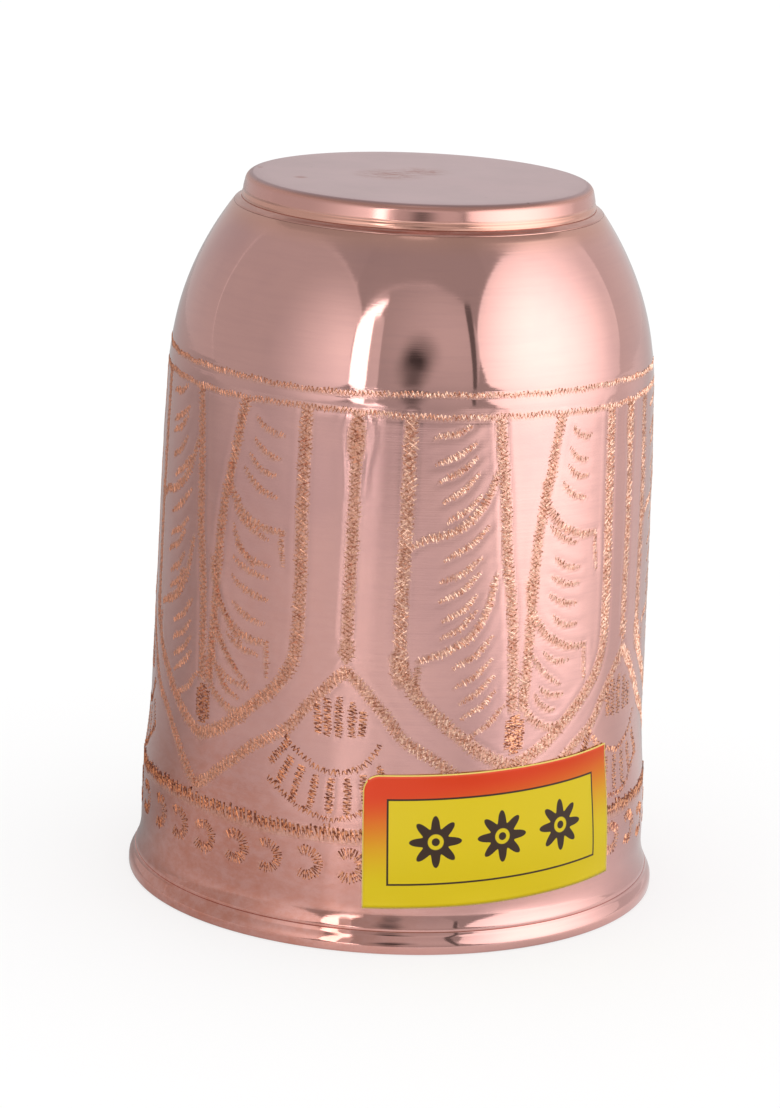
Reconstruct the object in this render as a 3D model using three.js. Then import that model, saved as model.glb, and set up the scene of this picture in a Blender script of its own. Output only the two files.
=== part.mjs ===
// Copper tumbler, turned over as it is put away: it stands on its mouth with the base up.
// Millimetres. +Z runs along the tumbler's axis, from the plane of the mouth to the face of the base.
// The origin is on the axis, in the plane of the mouth. The front faces -Y.

import * as THREE from 'three';

// Overall size
const HEIGHT = 100;
const LIP_RADIUS = 37.5;

// Spun sheet: how far the wall draws in, stretch by stretch, and the heights where they meet
const SHEET = 0.7;
const FLARE_REACH = 1.62;
const FLARE_HEIGHT = 6.8;
const BELLY_HEIGHT = 11;
const WAIST_DRAW = 1;
const WAIST_HEIGHT = 27;
const WALL_TAPER = 0.73;
const SHOULDER_HEIGHT = 70;
const SHOULDER_DROP = 0.25;
const FLARE_LEAN = 0.55;
const JOGGLE_STEP = 0.45;
const JOGGLE_RISE = 0.25;
const SEAT_MARGIN = 0.4;
const NECK_BEND = 0.4;

// Lip band folded over the raw edge of the sheet
const BAND_HEIGHT = 2.75;
const BAND_SHEET = 0.45;
const BAND_CROWN = 0.2;
const BAND_CROWN_HEIGHT = 0.9;
const BAND_EDGE = 0.35;

// Foot disc that closes the small end
const FOOT_RADIUS = 24.5;
const FOOT_HEIGHT = 3.6;
const FOOT_EDGE = 1.2;
const FOOT_TAPER = 0.4;
const CAP_SHEET = 0.9;

// Brazed fillet under the foot
const BRAZE_RISE = 0.8;
const BRAZE_REACH = 1.1;
const BRAZE_HOLLOW = 0.2;

// Paper sticker on the wall
const LABEL_WIDTH = 38.5;
const LABEL_HEIGHT = 18.5;
const LABEL_PAPER = 0.15;
const LABEL_ANGLE = 24.9;
const LABEL_CENTRE_HEIGHT = 15.95;
const LABEL_TILT = 2.1;

// Gap that the solder or the glue fills in each seam
const SEAM = 0.1;

// Faces round the axis, and steps along the curved stretches of an outline
const AROUND = 64;
const FLARE_STEPS = 3;
const BELLY_STEPS = 4;
const WALL_STEPS = 2;
const SHOULDER_STEPS = 8;
const BEND_STEPS = 2;
const EDGE_STEPS = 3;
const LABEL_COLUMNS = 16;
const LABEL_ROWS = 8;

// Places that follow from the sizes above
const bellyRadius = LIP_RADIUS - FLARE_REACH;
const waistRadius = bellyRadius - WAIST_DRAW;
const shoulderRadius = waistRadius - WALL_TAPER;
const seatHeight = HEIGHT - FOOT_HEIGHT - SEAM;
const neckRadius = FOOT_RADIUS - CAP_SHEET - SEAM;
const neckTop = HEIGHT - CAP_SHEET - SEAM;
const sheetEdgeHeight = BAND_SHEET + SEAM;
const sheetEdgeRadius = LIP_RADIUS - BAND_CROWN - BAND_SHEET - SEAM;
const leanAngle = Math.atan2(FLARE_LEAN, BAND_HEIGHT - sheetEdgeHeight);
const leanedSheet = SHEET / Math.cos(leanAngle);
const flareFoot = BAND_HEIGHT + JOGGLE_RISE;

const point = (radius, height) => new THREE.Vector2(radius, height);

// Outside radius of the sheet where the lip band grips it
function lipRadiusAt(height) {
  return sheetEdgeRadius - (height - sheetEdgeHeight) * Math.tan(leanAngle);
}

// Outside radius of the wall from the lip band up to the shoulder; the sheet steps in just above the band,
// so that the band lies nearly flush with the flare
function wallRadiusAt(height) {
  if (height < flareFoot) {
    return lipRadiusAt(height);
  }
  if (height < FLARE_HEIGHT) {
    const open = (FLARE_HEIGHT - height) / (FLARE_HEIGHT - flareFoot);
    return THREE.MathUtils.lerp(bellyRadius, lipRadiusAt(BAND_HEIGHT) + JOGGLE_STEP, open * open);
  }
  if (height < WAIST_HEIGHT) {
    const drawn = THREE.MathUtils.smoothstep(height, BELLY_HEIGHT, WAIST_HEIGHT);
    return THREE.MathUtils.lerp(bellyRadius, waistRadius, drawn);
  }
  const taper = (height - WAIST_HEIGHT) / (SHOULDER_HEIGHT - WAIST_HEIGHT);
  return THREE.MathUtils.lerp(waistRadius, shoulderRadius, taper);
}

// Points of the wall's outline at even steps from one height up to just under the next
function wallStretch(from, to, steps) {
  const points = [];
  for (let i = 0; i < steps; i += 1) {
    const height = THREE.MathUtils.lerp(from, to, i / steps);
    points.push(point(wallRadiusAt(height), height));
  }
  return points;
}

// Arc of an outline from one angle to another, in radians from the outward direction
function arc(centre, radius, from, to, steps) {
  const points = [];
  for (let i = 0; i <= steps; i += 1) {
    const angle = THREE.MathUtils.lerp(from, to, i / steps);
    points.push(point(centre.x + radius * Math.cos(angle), centre.y + radius * Math.sin(angle)));
  }
  return points;
}

// The shoulder is one arc: upright where it leaves the wall, it ends at the brazed seam
function shoulder() {
  const end = point(FOOT_RADIUS + BRAZE_REACH, seatHeight - SHOULDER_DROP);
  const across = shoulderRadius - end.x;
  const up = end.y - SHOULDER_HEIGHT;
  const radius = (across * across + up * up) / (2 * across);
  const centre = point(shoulderRadius - radius, SHOULDER_HEIGHT);
  return arc(centre, radius, 0, Math.asin(up / radius), SHOULDER_STEPS);
}

// Outside of the spun sheet, from its raw edge at the mouth to the top of the neck
function sheetOutline() {
  const bend = point(neckRadius + NECK_BEND, seatHeight + NECK_BEND);
  return [
    point(sheetEdgeRadius, sheetEdgeHeight),
    point(lipRadiusAt(BAND_HEIGHT), BAND_HEIGHT),
    ...wallStretch(flareFoot, FLARE_HEIGHT, FLARE_STEPS),
    point(bellyRadius, FLARE_HEIGHT),
    ...wallStretch(BELLY_HEIGHT, WAIST_HEIGHT, BELLY_STEPS),
    ...wallStretch(WAIST_HEIGHT, SHOULDER_HEIGHT, WALL_STEPS),
    ...shoulder(),
    point(FOOT_RADIUS + SEAT_MARGIN, seatHeight),
    ...arc(bend, NECK_BEND, -Math.PI / 2, -Math.PI, BEND_STEPS),
    point(neckRadius, neckTop),
  ];
}

// The same outline moved towards the axis side by a distance, its corners kept mitred
function offset(outline, distance) {
  return outline.map((here, i) => {
    const before = outline[Math.max(i - 1, 0)];
    const after = outline[Math.min(i + 1, outline.length - 1)];
    const into = here.clone().sub(before).normalize();
    const out = after.clone().sub(here).normalize();
    const along = into.clone().add(out).normalize();
    const mitre = Math.max(along.dot(out), along.dot(into));
    return point(here.x - (along.y * distance) / mitre, here.y + (along.x * distance) / mitre);
  });
}

// Solid of revolution about +Z from an outline that closes on itself or on the axis
function turned(outline) {
  const geometry = new THREE.LatheGeometry(outline, AROUND);
  geometry.rotateX(Math.PI / 2);
  return geometry;
}

function named(name, geometry, material) {
  const mesh = new THREE.Mesh(geometry, new THREE.MeshStandardMaterial(material));
  mesh.name = name;
  return mesh;
}

// Wall, shoulder and neck: one sheet, open at the mouth and under the foot
function bodyShell() {
  const outside = sheetOutline();
  const inside = offset(outside, SHEET);
  inside[0].set(sheetEdgeRadius - leanedSheet, sheetEdgeHeight);
  const outline = [...outside, ...inside.reverse(), outside[0]];
  return named('body_shell', turned(outline), { color: 0xcf9484, metalness: 1, roughness: 0.28 });
}

// Strip folded over the sheet's edge, with a convex outside; the tumbler stands on its flat fold
function mouthBand() {
  const outerTop = lipRadiusAt(BAND_HEIGHT) + SEAM;
  const innerTop = lipRadiusAt(BAND_HEIGHT) - leanedSheet - SEAM;
  const outerFoot = sheetEdgeRadius + SEAM;
  const innerFoot = sheetEdgeRadius - leanedSheet - SEAM;
  const crownCorner = point(LIP_RADIUS - BAND_EDGE, BAND_EDGE);
  const outline = [
    point(outerTop, BAND_HEIGHT),
    point(outerFoot, BAND_SHEET),
    point(innerFoot, BAND_SHEET),
    point(innerTop, BAND_HEIGHT),
    point(innerTop - BAND_SHEET, BAND_HEIGHT),
    point(innerFoot - BAND_SHEET, BAND_EDGE),
    point(innerFoot - BAND_SHEET + BAND_EDGE, 0),
    ...arc(crownCorner, BAND_EDGE, -Math.PI / 2, 0, EDGE_STEPS),
    point(LIP_RADIUS, BAND_CROWN_HEIGHT),
    point(outerTop + BAND_SHEET, BAND_HEIGHT - BAND_EDGE / 2),
    point(outerTop + BAND_SHEET / 2, BAND_HEIGHT),
    point(outerTop, BAND_HEIGHT),
  ];
  return named('mouth_band', turned(outline), { color: 0xd49a8a, metalness: 1, roughness: 0.22 });
}

// Foot disc: a flat face, a rounded rim and a skirt that widens a little as it goes down over the neck
function baseCap() {
  const under = HEIGHT - CAP_SHEET;
  const skirtInside = FOOT_RADIUS - CAP_SHEET;
  const rim = point(FOOT_RADIUS - FOOT_TAPER - FOOT_EDGE, HEIGHT - FOOT_EDGE);
  const outline = [
    point(0, under),
    point(skirtInside, under),
    point(skirtInside, HEIGHT - FOOT_HEIGHT + NECK_BEND),
    point(skirtInside + NECK_BEND, HEIGHT - FOOT_HEIGHT),
    point(FOOT_RADIUS, HEIGHT - FOOT_HEIGHT),
    point(FOOT_RADIUS, seatHeight + BRAZE_RISE),
    ...arc(rim, FOOT_EDGE, 0, Math.PI / 2, EDGE_STEPS),
    point(0, HEIGHT),
  ];
  return named('base_cap', turned(outline), { color: 0xbf9a95, metalness: 1, roughness: 0.45 });
}

// Fillet of brazing metal in the corner between the skirt and the shoulder
function baseBraze() {
  const skirt = FOOT_RADIUS + SEAM;
  const shoulderEnd = point(FOOT_RADIUS + BRAZE_REACH, seatHeight - SHOULDER_DROP + SEAM);
  const top = point(skirt, seatHeight + BRAZE_RISE);
  const middle = shoulderEnd.clone().lerp(top, 0.5);
  const outline = [
    top,
    point(skirt, seatHeight + SEAM),
    point(FOOT_RADIUS + SEAT_MARGIN, seatHeight + SEAM),
    shoulderEnd,
    point(middle.x - BRAZE_HOLLOW / 2, middle.y - BRAZE_HOLLOW / 2),
    top,
  ];
  return named('base_braze', turned(outline), { color: 0x9c5f4b, metalness: 1, roughness: 0.5 });
}

// Sticker: a flat sheet of paper, turned a little and then wrapped on the wall
function paperLabel() {
  const sheet = new THREE.BoxGeometry(
    LABEL_WIDTH, LABEL_HEIGHT, LABEL_PAPER, LABEL_COLUMNS, LABEL_ROWS, 1,
  );
  sheet.rotateZ(THREE.MathUtils.degToRad(LABEL_TILT));
  const place = sheet.getAttribute('position');
  const middleAngle = THREE.MathUtils.degToRad(LABEL_ANGLE);
  const middleRadius = wallRadiusAt(LABEL_CENTRE_HEIGHT);
  for (let i = 0; i < place.count; i += 1) {
    const height = LABEL_CENTRE_HEIGHT + place.getY(i);
    const angle = middleAngle + place.getX(i) / middleRadius;
    const radius = wallRadiusAt(height) + SEAM + LABEL_PAPER / 2 + place.getZ(i);
    place.setXYZ(i, radius * Math.sin(angle), -radius * Math.cos(angle), height);
  }
  return named('paper_label', sheet, { color: 0xd8731c, metalness: 0, roughness: 0.55 });
}

const tumbler = new THREE.Group();
tumbler.name = 'copper_tumbler';
tumbler.add(bodyShell(), mouthBand(), baseCap(), baseBraze(), paperLabel());

export default tumbler;
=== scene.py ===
"""Looks of a copper tumbler that stands on its mouth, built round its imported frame."""

import logging
import math
from collections.abc import Sequence
from dataclasses import dataclass, field, replace
from enum import Enum
from functools import partial, reduce

import bpy
import numpy as np
from mathutils import Matrix, Vector


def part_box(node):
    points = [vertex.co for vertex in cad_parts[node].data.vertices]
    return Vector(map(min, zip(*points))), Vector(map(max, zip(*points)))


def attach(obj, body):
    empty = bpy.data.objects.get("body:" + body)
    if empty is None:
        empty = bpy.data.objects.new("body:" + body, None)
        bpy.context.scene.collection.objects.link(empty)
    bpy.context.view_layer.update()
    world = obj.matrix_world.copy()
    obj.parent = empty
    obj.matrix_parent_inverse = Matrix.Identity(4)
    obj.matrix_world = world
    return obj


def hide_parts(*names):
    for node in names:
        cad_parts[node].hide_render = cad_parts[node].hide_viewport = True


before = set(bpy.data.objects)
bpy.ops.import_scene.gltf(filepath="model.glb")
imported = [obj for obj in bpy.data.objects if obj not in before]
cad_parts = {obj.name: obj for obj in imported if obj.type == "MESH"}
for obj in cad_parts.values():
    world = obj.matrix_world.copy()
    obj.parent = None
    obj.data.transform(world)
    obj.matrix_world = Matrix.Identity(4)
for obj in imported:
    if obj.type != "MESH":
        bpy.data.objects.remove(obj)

log = logging.getLogger("tumbler")

# Metres in a millimetre: sizes are written in millimetres and meshes are made in metres
MM = 0.001
BODY = "root"
HAND_SEED = 11

Point = tuple[float, float]
Triple = tuple[float, float, float]
Faces = list[tuple[int, ...]]
Ring = np.ndarray
Socket = bpy.types.NodeSocket

WHITE: Triple = (1, 1, 1)


class Teeth(Enum):
    """Side of a line on which the graver's ticks lie."""

    BOTH = "both"
    UP = "up"
    DOWN = "down"


def arc(centre: Point, radius: float, start: float, end: float, steps: int) -> list[Point]:
    """Returns points of an arc, with its angles in degrees from the outward direction.

    Args:
        centre: Radius and height of the arc's centre.
        radius: The arc's own radius.
        start: Angle of the first point.
        end: Angle of the last point.
        steps: How many steps lie between them.

    Returns:
        The points, each a radius and a height.
    """
    angles = np.radians(np.linspace(start, end, steps + 1))
    return [(centre[0] + radius * math.cos(a), centre[1] + radius * math.sin(a)) for a in angles]


def inset(outline: Sequence[Point], distance: float) -> list[Point]:
    """Returns an outline moved towards its left-hand side, with mitred corners.

    Args:
        outline: Points as radius and height.
        distance: How far each stretch moves.

    Returns:
        As many points as the outline has.
    """
    points = np.array(outline, float)
    ahead = np.diff(points, axis=0)
    ahead /= np.linalg.norm(ahead, axis=1)[:, None]
    into = np.vstack([ahead[:1], ahead])
    out = np.vstack([ahead, ahead[-1:]])
    along = into + out
    along /= np.linalg.norm(along, axis=1)[:, None]
    mitre = np.sum(along * out, axis=1)
    moved = points + np.stack([-along[:, 1], along[:, 0]], axis=1) * (distance / mitre)[:, None]
    return [tuple(p) for p in moved]


def bell(distance: float | np.ndarray, spread: float | np.ndarray, power: int = 2) -> float | np.ndarray:
    """Returns 1 at no distance, and a soft fall towards 0 beyond the spread."""
    return np.exp(-((distance / spread) ** power))


def ring(radius: float | np.ndarray, height: float | np.ndarray, count: int) -> Ring:
    """Returns points round the axis, counted from the front towards the right.

    Args:
        radius: One radius, or one for each point.
        height: One height, or one for each point.
        count: How many points the ring has.

    Returns:
        An array of count rows, in millimetres.
    """
    angles = np.arange(count) * 2 * math.pi / count
    across = np.broadcast_to(radius, count)
    level = np.broadcast_to(height, count)
    return np.stack([across * np.sin(angles), -across * np.cos(angles), level], axis=1)


def pole(height: float) -> Ring:
    """Returns a ring of one point on the axis."""
    return np.array([[0.0, 0.0, height]])


def strip(first: np.ndarray, second: np.ndarray) -> Faces:
    """Returns the faces between two rings, whose counts are alike, halved, doubled or one.

    Args:
        first: Vertex numbers of the ring that comes first along the outline.
        second: Vertex numbers of the next ring.

    Returns:
        Faces as tuples of vertex numbers, facing out.
    """
    n, m = len(first), len(second)
    a, b = first.tolist(), second.tolist()
    if m == 1:
        return [(a[i], a[(i + 1) % n], b[0]) for i in range(n)]
    if n == 1:
        return [(a[0], b[(i + 1) % m], b[i]) for i in range(m)]
    if n == m:
        return [(a[i], a[(i + 1) % n], b[(i + 1) % n], b[i]) for i in range(n)]
    faces: Faces = []
    if n == 2 * m:
        for j in range(m):
            a0, a1, a2 = a[2 * j], a[2 * j + 1], a[(2 * j + 2) % n]
            b0, b1 = b[j], b[(j + 1) % m]
            faces += [(a0, a1, b0), (a1, b1, b0), (a1, a2, b1)]
        return faces
    for j in range(n):
        a0, a1 = a[j], a[(j + 1) % n]
        b0, b1, b2 = b[2 * j], b[2 * j + 1], b[(2 * j + 2) % m]
        faces += [(a0, b1, b0), (a0, a1, b1), (a1, b2, b1)]
    return faces


def turned_mesh(name: str, rings: Sequence[Ring], closed: bool) -> bpy.types.Object:
    """Makes a smooth object from rings along an outline.

    Args:
        name: Name of the object.
        rings: Rings in millimetres, with the outside on the right hand of their order.
        closed: Whether the last ring joins the first.

    Returns:
        The object, with its place in its mesh.
    """
    starts = np.cumsum([0] + [len(r) for r in rings])
    numbers = [np.arange(starts[i], starts[i + 1]) for i in range(len(rings))]
    pairs = list(zip(numbers, numbers[1:]))
    if closed:
        pairs.append((numbers[-1], numbers[0]))
    faces = [face for first, second in pairs for face in strip(first, second)]
    return new_object(name, np.vstack(rings) * MM, faces)


def new_object(name: str, points: np.ndarray, faces: Faces) -> bpy.types.Object:
    """Makes a smooth mesh object in the scene.

    Args:
        name: Name of the object.
        points: Vertices in metres.
        faces: Vertex numbers of each face.

    Returns:
        The object.
    """
    mesh = bpy.data.meshes.new(name)
    mesh.from_pydata(points.tolist(), [], faces)
    mesh.polygons.foreach_set("use_smooth", [True] * len(mesh.polygons))
    mesh.update()
    made = bpy.data.objects.new(name, mesh)
    bpy.context.scene.collection.objects.link(made)
    return made


def settle(
    piece: bpy.types.Object, slot: str, stands_for: str | None = None, finish: bpy.types.Material | None = None
) -> bpy.types.Object:
    """Dresses a finished piece, puts it on its body and reports it.

    Args:
        piece: The finished piece.
        slot: The record's material slot of the piece.
        stands_for: The CAD node that it replaces, if it does.
        finish: Its material, if it has none yet.

    Returns:
        The piece.
    """
    if finish is not None:
        piece.data.materials.append(finish)
    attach(piece, BODY)
    if stands_for is not None:
        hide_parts(stands_for)
    log.info("%s: %d faces, slot %s", piece.name, len(piece.data.polygons), slot)
    return piece


def sheet_faces(columns: int, rows: int) -> Faces:
    """Returns the faces of a sheet whose points are counted row by row."""
    wide = columns + 1
    return [
        (a, a + wide, a + wide + 1, a + 1) for j in range(rows) for a in range(j * wide, j * wide + columns)
    ]


def map_uv(piece: bpy.types.Object, name: str, flat: np.ndarray) -> None:
    """Gives a piece a UV map.

    Args:
        piece: The piece.
        name: Name of the map.
        flat: The place of each vertex on the map.
    """
    corners = np.zeros(len(piece.data.loops), int)
    piece.data.loops.foreach_get("vertex_index", corners)
    piece.data.uv_layers.new(name=name).data.foreach_set("uv", flat[corners].ravel())


def corner_share(across: np.ndarray, up: np.ndarray) -> np.ndarray:
    """Returns what places in a square corner are scaled by to lie in a round one, and 1 outside the corner.

    Args:
        across: How far each place is into the corner from the side, below zero outside it.
        up: The same from below.

    Returns:
        The scales.
    """
    square = np.maximum(np.maximum(across, up), 1e-9)
    length = np.maximum(np.hypot(across, up), 1e-9)
    return np.where((across > 0) & (up > 0), square / length, 1.0)


def show_to_metal_only(light: bpy.types.Object) -> None:
    """Stages a lamp that shows in reflections alone; the world gives the plain light."""
    light.visible_camera = light.visible_diffuse = light.visible_shadow = False


@dataclass
class NodeSketch:
    """Adds nodes to a tree in few words."""

    tree: bpy.types.NodeTree

    def put(self, socket: Socket, value: object) -> None:
        """Links a socket to another, or sets its value.

        Args:
            socket: The input socket.
            value: An output socket, a number, or three numbers for a place or a colour.
        """
        if isinstance(value, Socket):
            self.tree.links.new(value, socket)
        elif socket.type == "RGBA":
            socket.default_value = (*value, 1)
        else:
            socket.default_value = value

    def add(
        self, kind: str, inputs: dict[str | int, object] | None = None, **settings: object
    ) -> bpy.types.Node:
        """Adds a node.

        Args:
            kind: The node's type name.
            inputs: Values or sockets by the input's name or number.
            **settings: The node's own properties.

        Returns:
            The node.
        """
        node = self.tree.nodes.new(kind)
        for key, value in settings.items():
            setattr(node, key, value)
        for key, value in (inputs or {}).items():
            self.put(node.inputs[key], value)
        return node

    def math(self, operation: str, *values: object) -> Socket:
        """Returns the result of a math node on sockets or numbers."""
        return self.add("ShaderNodeMath", dict(enumerate(values)), operation=operation).outputs[0]

    def times(self, *values: object) -> Socket:
        """Returns the product of sockets or numbers."""
        return reduce(partial(self.math, "MULTIPLY"), values)

    def plus(self, *values: object) -> Socket:
        """Returns the sum of sockets or numbers."""
        return reduce(partial(self.math, "ADD"), values)

    def most(self, *values: object) -> Socket:
        """Returns the largest of sockets or numbers."""
        return reduce(partial(self.math, "MAXIMUM"), values)

    def scaled(self, value: object, factor: object, more: object) -> Socket:
        """Returns a value times a factor, with more added."""
        return self.math("MULTIPLY_ADD", value, factor, more)

    def seen(self) -> Socket:
        """Returns 1 for the rays that show a thing to the eye, in gloss or through glass."""
        path = self.add("ShaderNodeLightPath").outputs
        return self.most(path["Is Camera Ray"], path["Is Glossy Ray"], path["Is Transmission Ray"])


class ShaderSketch(NodeSketch):
    """Adds shader nodes to a new material in few words."""

    def __init__(self, name: str) -> None:
        """Makes the material with an empty tree.

        Args:
            name: Name of the material.
        """
        self.material = bpy.data.materials.new(name)
        self.material.use_nodes = True
        self.material.node_tree.nodes.clear()
        super().__init__(self.material.node_tree)

    def band(self, value: object, low: float, high: float) -> Socket:
        """Returns 0 below low, 1 above high and a smooth rise between; low may be the larger.

        Args:
            value: The number to look at.
            low: Where the result is 0.
            high: Where it is 1.

        Returns:
            The share, from 0 to 1.
        """
        below, above = (1.0, 0.0) if low > high else (0.0, 1.0)
        source = {"Value": value, "From Min": min(low, high), "From Max": max(low, high)}
        inputs = {**source, "To Min": below, "To Max": above}
        return self.add("ShaderNodeMapRange", inputs, interpolation_type="SMOOTHSTEP").outputs["Result"]

    def mix(self, factor: object, first: object, second: object) -> Socket:
        """Returns a colour between two, by a factor."""
        return self.add("ShaderNodeMix", {0: factor, 6: first, 7: second}, data_type="RGBA").outputs[2]

    def coordinates(self) -> Socket:
        """Returns the Object coordinates, in metres."""
        return self.add("ShaderNodeTexCoord").outputs["Object"]

    def place(self) -> tuple[Socket, ...]:
        """Returns X, Y and Z of the Object coordinates."""
        return tuple(self.add("ShaderNodeSeparateXYZ", {0: self.coordinates()}).outputs)

    def stretched(self, scale: Triple) -> Socket:
        """Returns Object coordinates scaled along each axis."""
        return self.add("ShaderNodeMapping", {"Vector": self.coordinates(), "Scale": scale}).outputs["Vector"]

    def noise(self, scale: Triple, detail: float = 2.0, rough: float = 0.6) -> Socket:
        """Returns noise over Object coordinates that are scaled along each axis."""
        inputs = {"Vector": self.stretched(scale), "Scale": 1.0, "Detail": detail, "Roughness": rough}
        return self.add("ShaderNodeTexNoise", inputs, noise_dimensions="3D").outputs["Fac"]

    def near(self, centre: Triple, inner: float, outer: float, place: Socket | None = None) -> Socket:
        """Returns 1 within inner of a point and 0 beyond outer.

        Args:
            centre: The point.
            inner: Distance up to which the result is 1.
            outer: Distance from which it is 0.
            place: What the distance is taken of, if not the Object coordinates.

        Returns:
            The share, from 0 to 1.
        """
        at = self.coordinates() if place is None else place
        gap = self.add("ShaderNodeVectorMath", {0: at, 1: centre}, operation="DISTANCE")
        return self.band(gap.outputs["Value"], outer, inner)

    def bump(self, height: Socket, strength: float, distance: float, **under: Socket) -> Socket:
        """Returns the normal of a relief, over another Normal if one is given."""
        inputs = {"Height": height, "Strength": strength, "Distance": distance, **under}
        return self.add("ShaderNodeBump", inputs).outputs[0]

    def glow(self, strength: object) -> Socket:
        """Returns white light of a strength."""
        return self.add("ShaderNodeEmission", {"Color": WHITE, "Strength": strength}).outputs[0]

    def surface(self, base: Socket, rough: Socket, more: dict[str, object]) -> bpy.types.Material:
        """Ends the material with its surface.

        Args:
            base: The colour.
            rough: The roughness.
            more: Other inputs of the surface, by name.

        Returns:
            The material.
        """
        inputs = {"Base Color": base, "Roughness": rough, **more}
        return self.output(self.add("ShaderNodeBsdfPrincipled", inputs).outputs[0])

    def metal(self, base: Socket, rough: Socket, **more: object) -> bpy.types.Material:
        """Ends the material with a surface of bare metal and returns it."""
        return self.surface(base, rough, {"Metallic": 1.0, **more})

    def output(self, shader: Socket) -> bpy.types.Material:
        """Links a shader to the material's output and returns the material."""
        self.add("ShaderNodeOutputMaterial", {"Surface": shader})
        return self.material


def on_wall(angle: float, height: float, radius: float = 35.0) -> Triple:
    """Returns the place in metres of a point on the wall, by its angle from the front and its height."""
    a = math.radians(angle)
    return (radius * MM * math.sin(a), -radius * MM * math.cos(a), height * MM)


@dataclass(frozen=True)
class SpunCopper:
    """Bright copper with fine turning lines round the axis; its heights are in metres."""

    name: str
    colour: Triple = (0.72, 0.405, 0.365)
    warm: Triple = (0.54, 0.175, 0.10)
    dull: Triple = (0.62, 0.35, 0.33)
    torched: Triple = (0.70, 0.37, 0.28)
    dug: Triple = (0.84, 0.46, 0.34)
    dug_dark: Triple = (0.54, 0.25, 0.17)
    polished: float = 0.06
    brushed: float = 0.18
    streak: float = 0.95
    lines: float = 0.032
    torch_heights: Point = (0.0930, 0.0964)
    shoulder_heights: Point = (0.077, 0.069)
    flare_heights: Point = (0.004, 0.010)

    def build(self) -> bpy.types.Material:
        """Makes the material."""
        sketch = ShaderSketch(self.name)
        height = sketch.place()[2]
        fine = sketch.noise((60, 60, 5200))
        coarse = sketch.noise((90, 90, 1500), 3.0)
        grain = sketch.noise((2300, 2300, 2300), 2.0, 0.7)
        cut = sketch.add("ShaderNodeAttribute", attribute_name="cut").outputs["Fac"]
        torched = sketch.times(sketch.band(height, *self.torch_heights), 0.7)
        shoulder, flare = sketch.band(height, *self.shoulder_heights), sketch.band(height, *self.flare_heights)
        wall = sketch.times(shoulder, flare, self.brushed - self.polished)
        rough = sketch.scaled(coarse, 0.06, sketch.plus(wall, self.polished - 0.03))
        rough = sketch.scaled(cut, 0.3, sketch.scaled(torched, 0.2, rough))
        rings = sketch.times(sketch.plus(fine, coarse), sketch.scaled(wall, 12.0, 0.45))
        turning = sketch.bump(rings, self.lines, 0.0002)
        colour = self.smooth(sketch, coarse, torched)
        torn = sketch.mix(sketch.band(grain, 0.38, 0.6), self.dug_dark, self.dug)
        more = {
            "Anisotropic": self.streak,
            "Anisotropic Rotation": 0.25,
            "Tangent": sketch.add("ShaderNodeTangent", direction_type="RADIAL", axis="Z").outputs[0],
            "Normal": sketch.bump(sketch.times(grain, cut), 0.9, 0.00016, Normal=turning),
        }
        return sketch.metal(sketch.mix(cut, colour, torn), rough, **more)

    def smooth(self, sketch: ShaderSketch, coarse: Socket, torched: Socket) -> Socket:
        """Returns the colour where nothing is cut: cloudy, brown from the torch and reddened in places.

        Args:
            sketch: The material's nodes.
            coarse: The noise of the turning lines.
            torched: How far the torch has browned the copper.

        Returns:
            The colour.
        """
        cloud = sketch.noise((38, 38, 30), 4.0)
        colour = sketch.mix(sketch.band(cloud, 0.45, 0.75), self.colour, self.dull)
        colour = sketch.mix(sketch.times(sketch.band(coarse, 0.42, 0.68), 0.22), colour, self.dull)
        return sketch.mix(self.tarnish(sketch), sketch.mix(torched, colour, self.torched), self.warm)

    def tarnish(self, sketch: ShaderSketch) -> Socket:
        """Returns how far the copper has reddened: most low on the left, a little higher up the left side.

        Args:
            sketch: The material's nodes.

        Returns:
            The share, from 0 to 1.
        """
        across, _, height = sketch.place()
        blotch = sketch.noise((420, 420, 640), 6.0, 0.75)
        patch = sketch.near(on_wall(-48, 7), 0.008, 0.030)
        low = sketch.times(sketch.band(height, 0.030, 0.008), sketch.band(across, 0.014, -0.012))
        side = sketch.times(sketch.near(on_wall(-66, 38), 0.018, 0.040), 0.3)
        spread = sketch.most(patch, side, sketch.times(low, 0.75))
        return sketch.times(spread, sketch.scaled(sketch.band(blotch, 0.32, 0.68), 0.42, 0.28))


@dataclass(frozen=True)
class CutCopper:
    """Freshly cut copper in the graver's ticks: golden, with brown hollows, and redder on the left."""

    name: str = "cut_copper"
    bright: Triple = (0.92, 0.61, 0.47)
    brown: Triple = (0.50, 0.22, 0.14)
    orange: Triple = (0.74, 0.27, 0.14)
    roughness: float = 0.3
    grain: float = 2600

    def build(self) -> bpy.types.Material:
        """Makes the material."""
        sketch = ShaderSketch(self.name)
        grain = sketch.noise((self.grain, self.grain, self.grain))
        reddened = sketch.times(sketch.band(sketch.place()[0], 0.010, -0.024), 0.75)
        fresh = sketch.mix(reddened, self.bright, self.orange)
        base = sketch.mix(sketch.band(grain, 0.44, 0.55), self.brown, fresh)
        return sketch.metal(base, sketch.scaled(grain, 0.2, self.roughness - 0.1))


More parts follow.
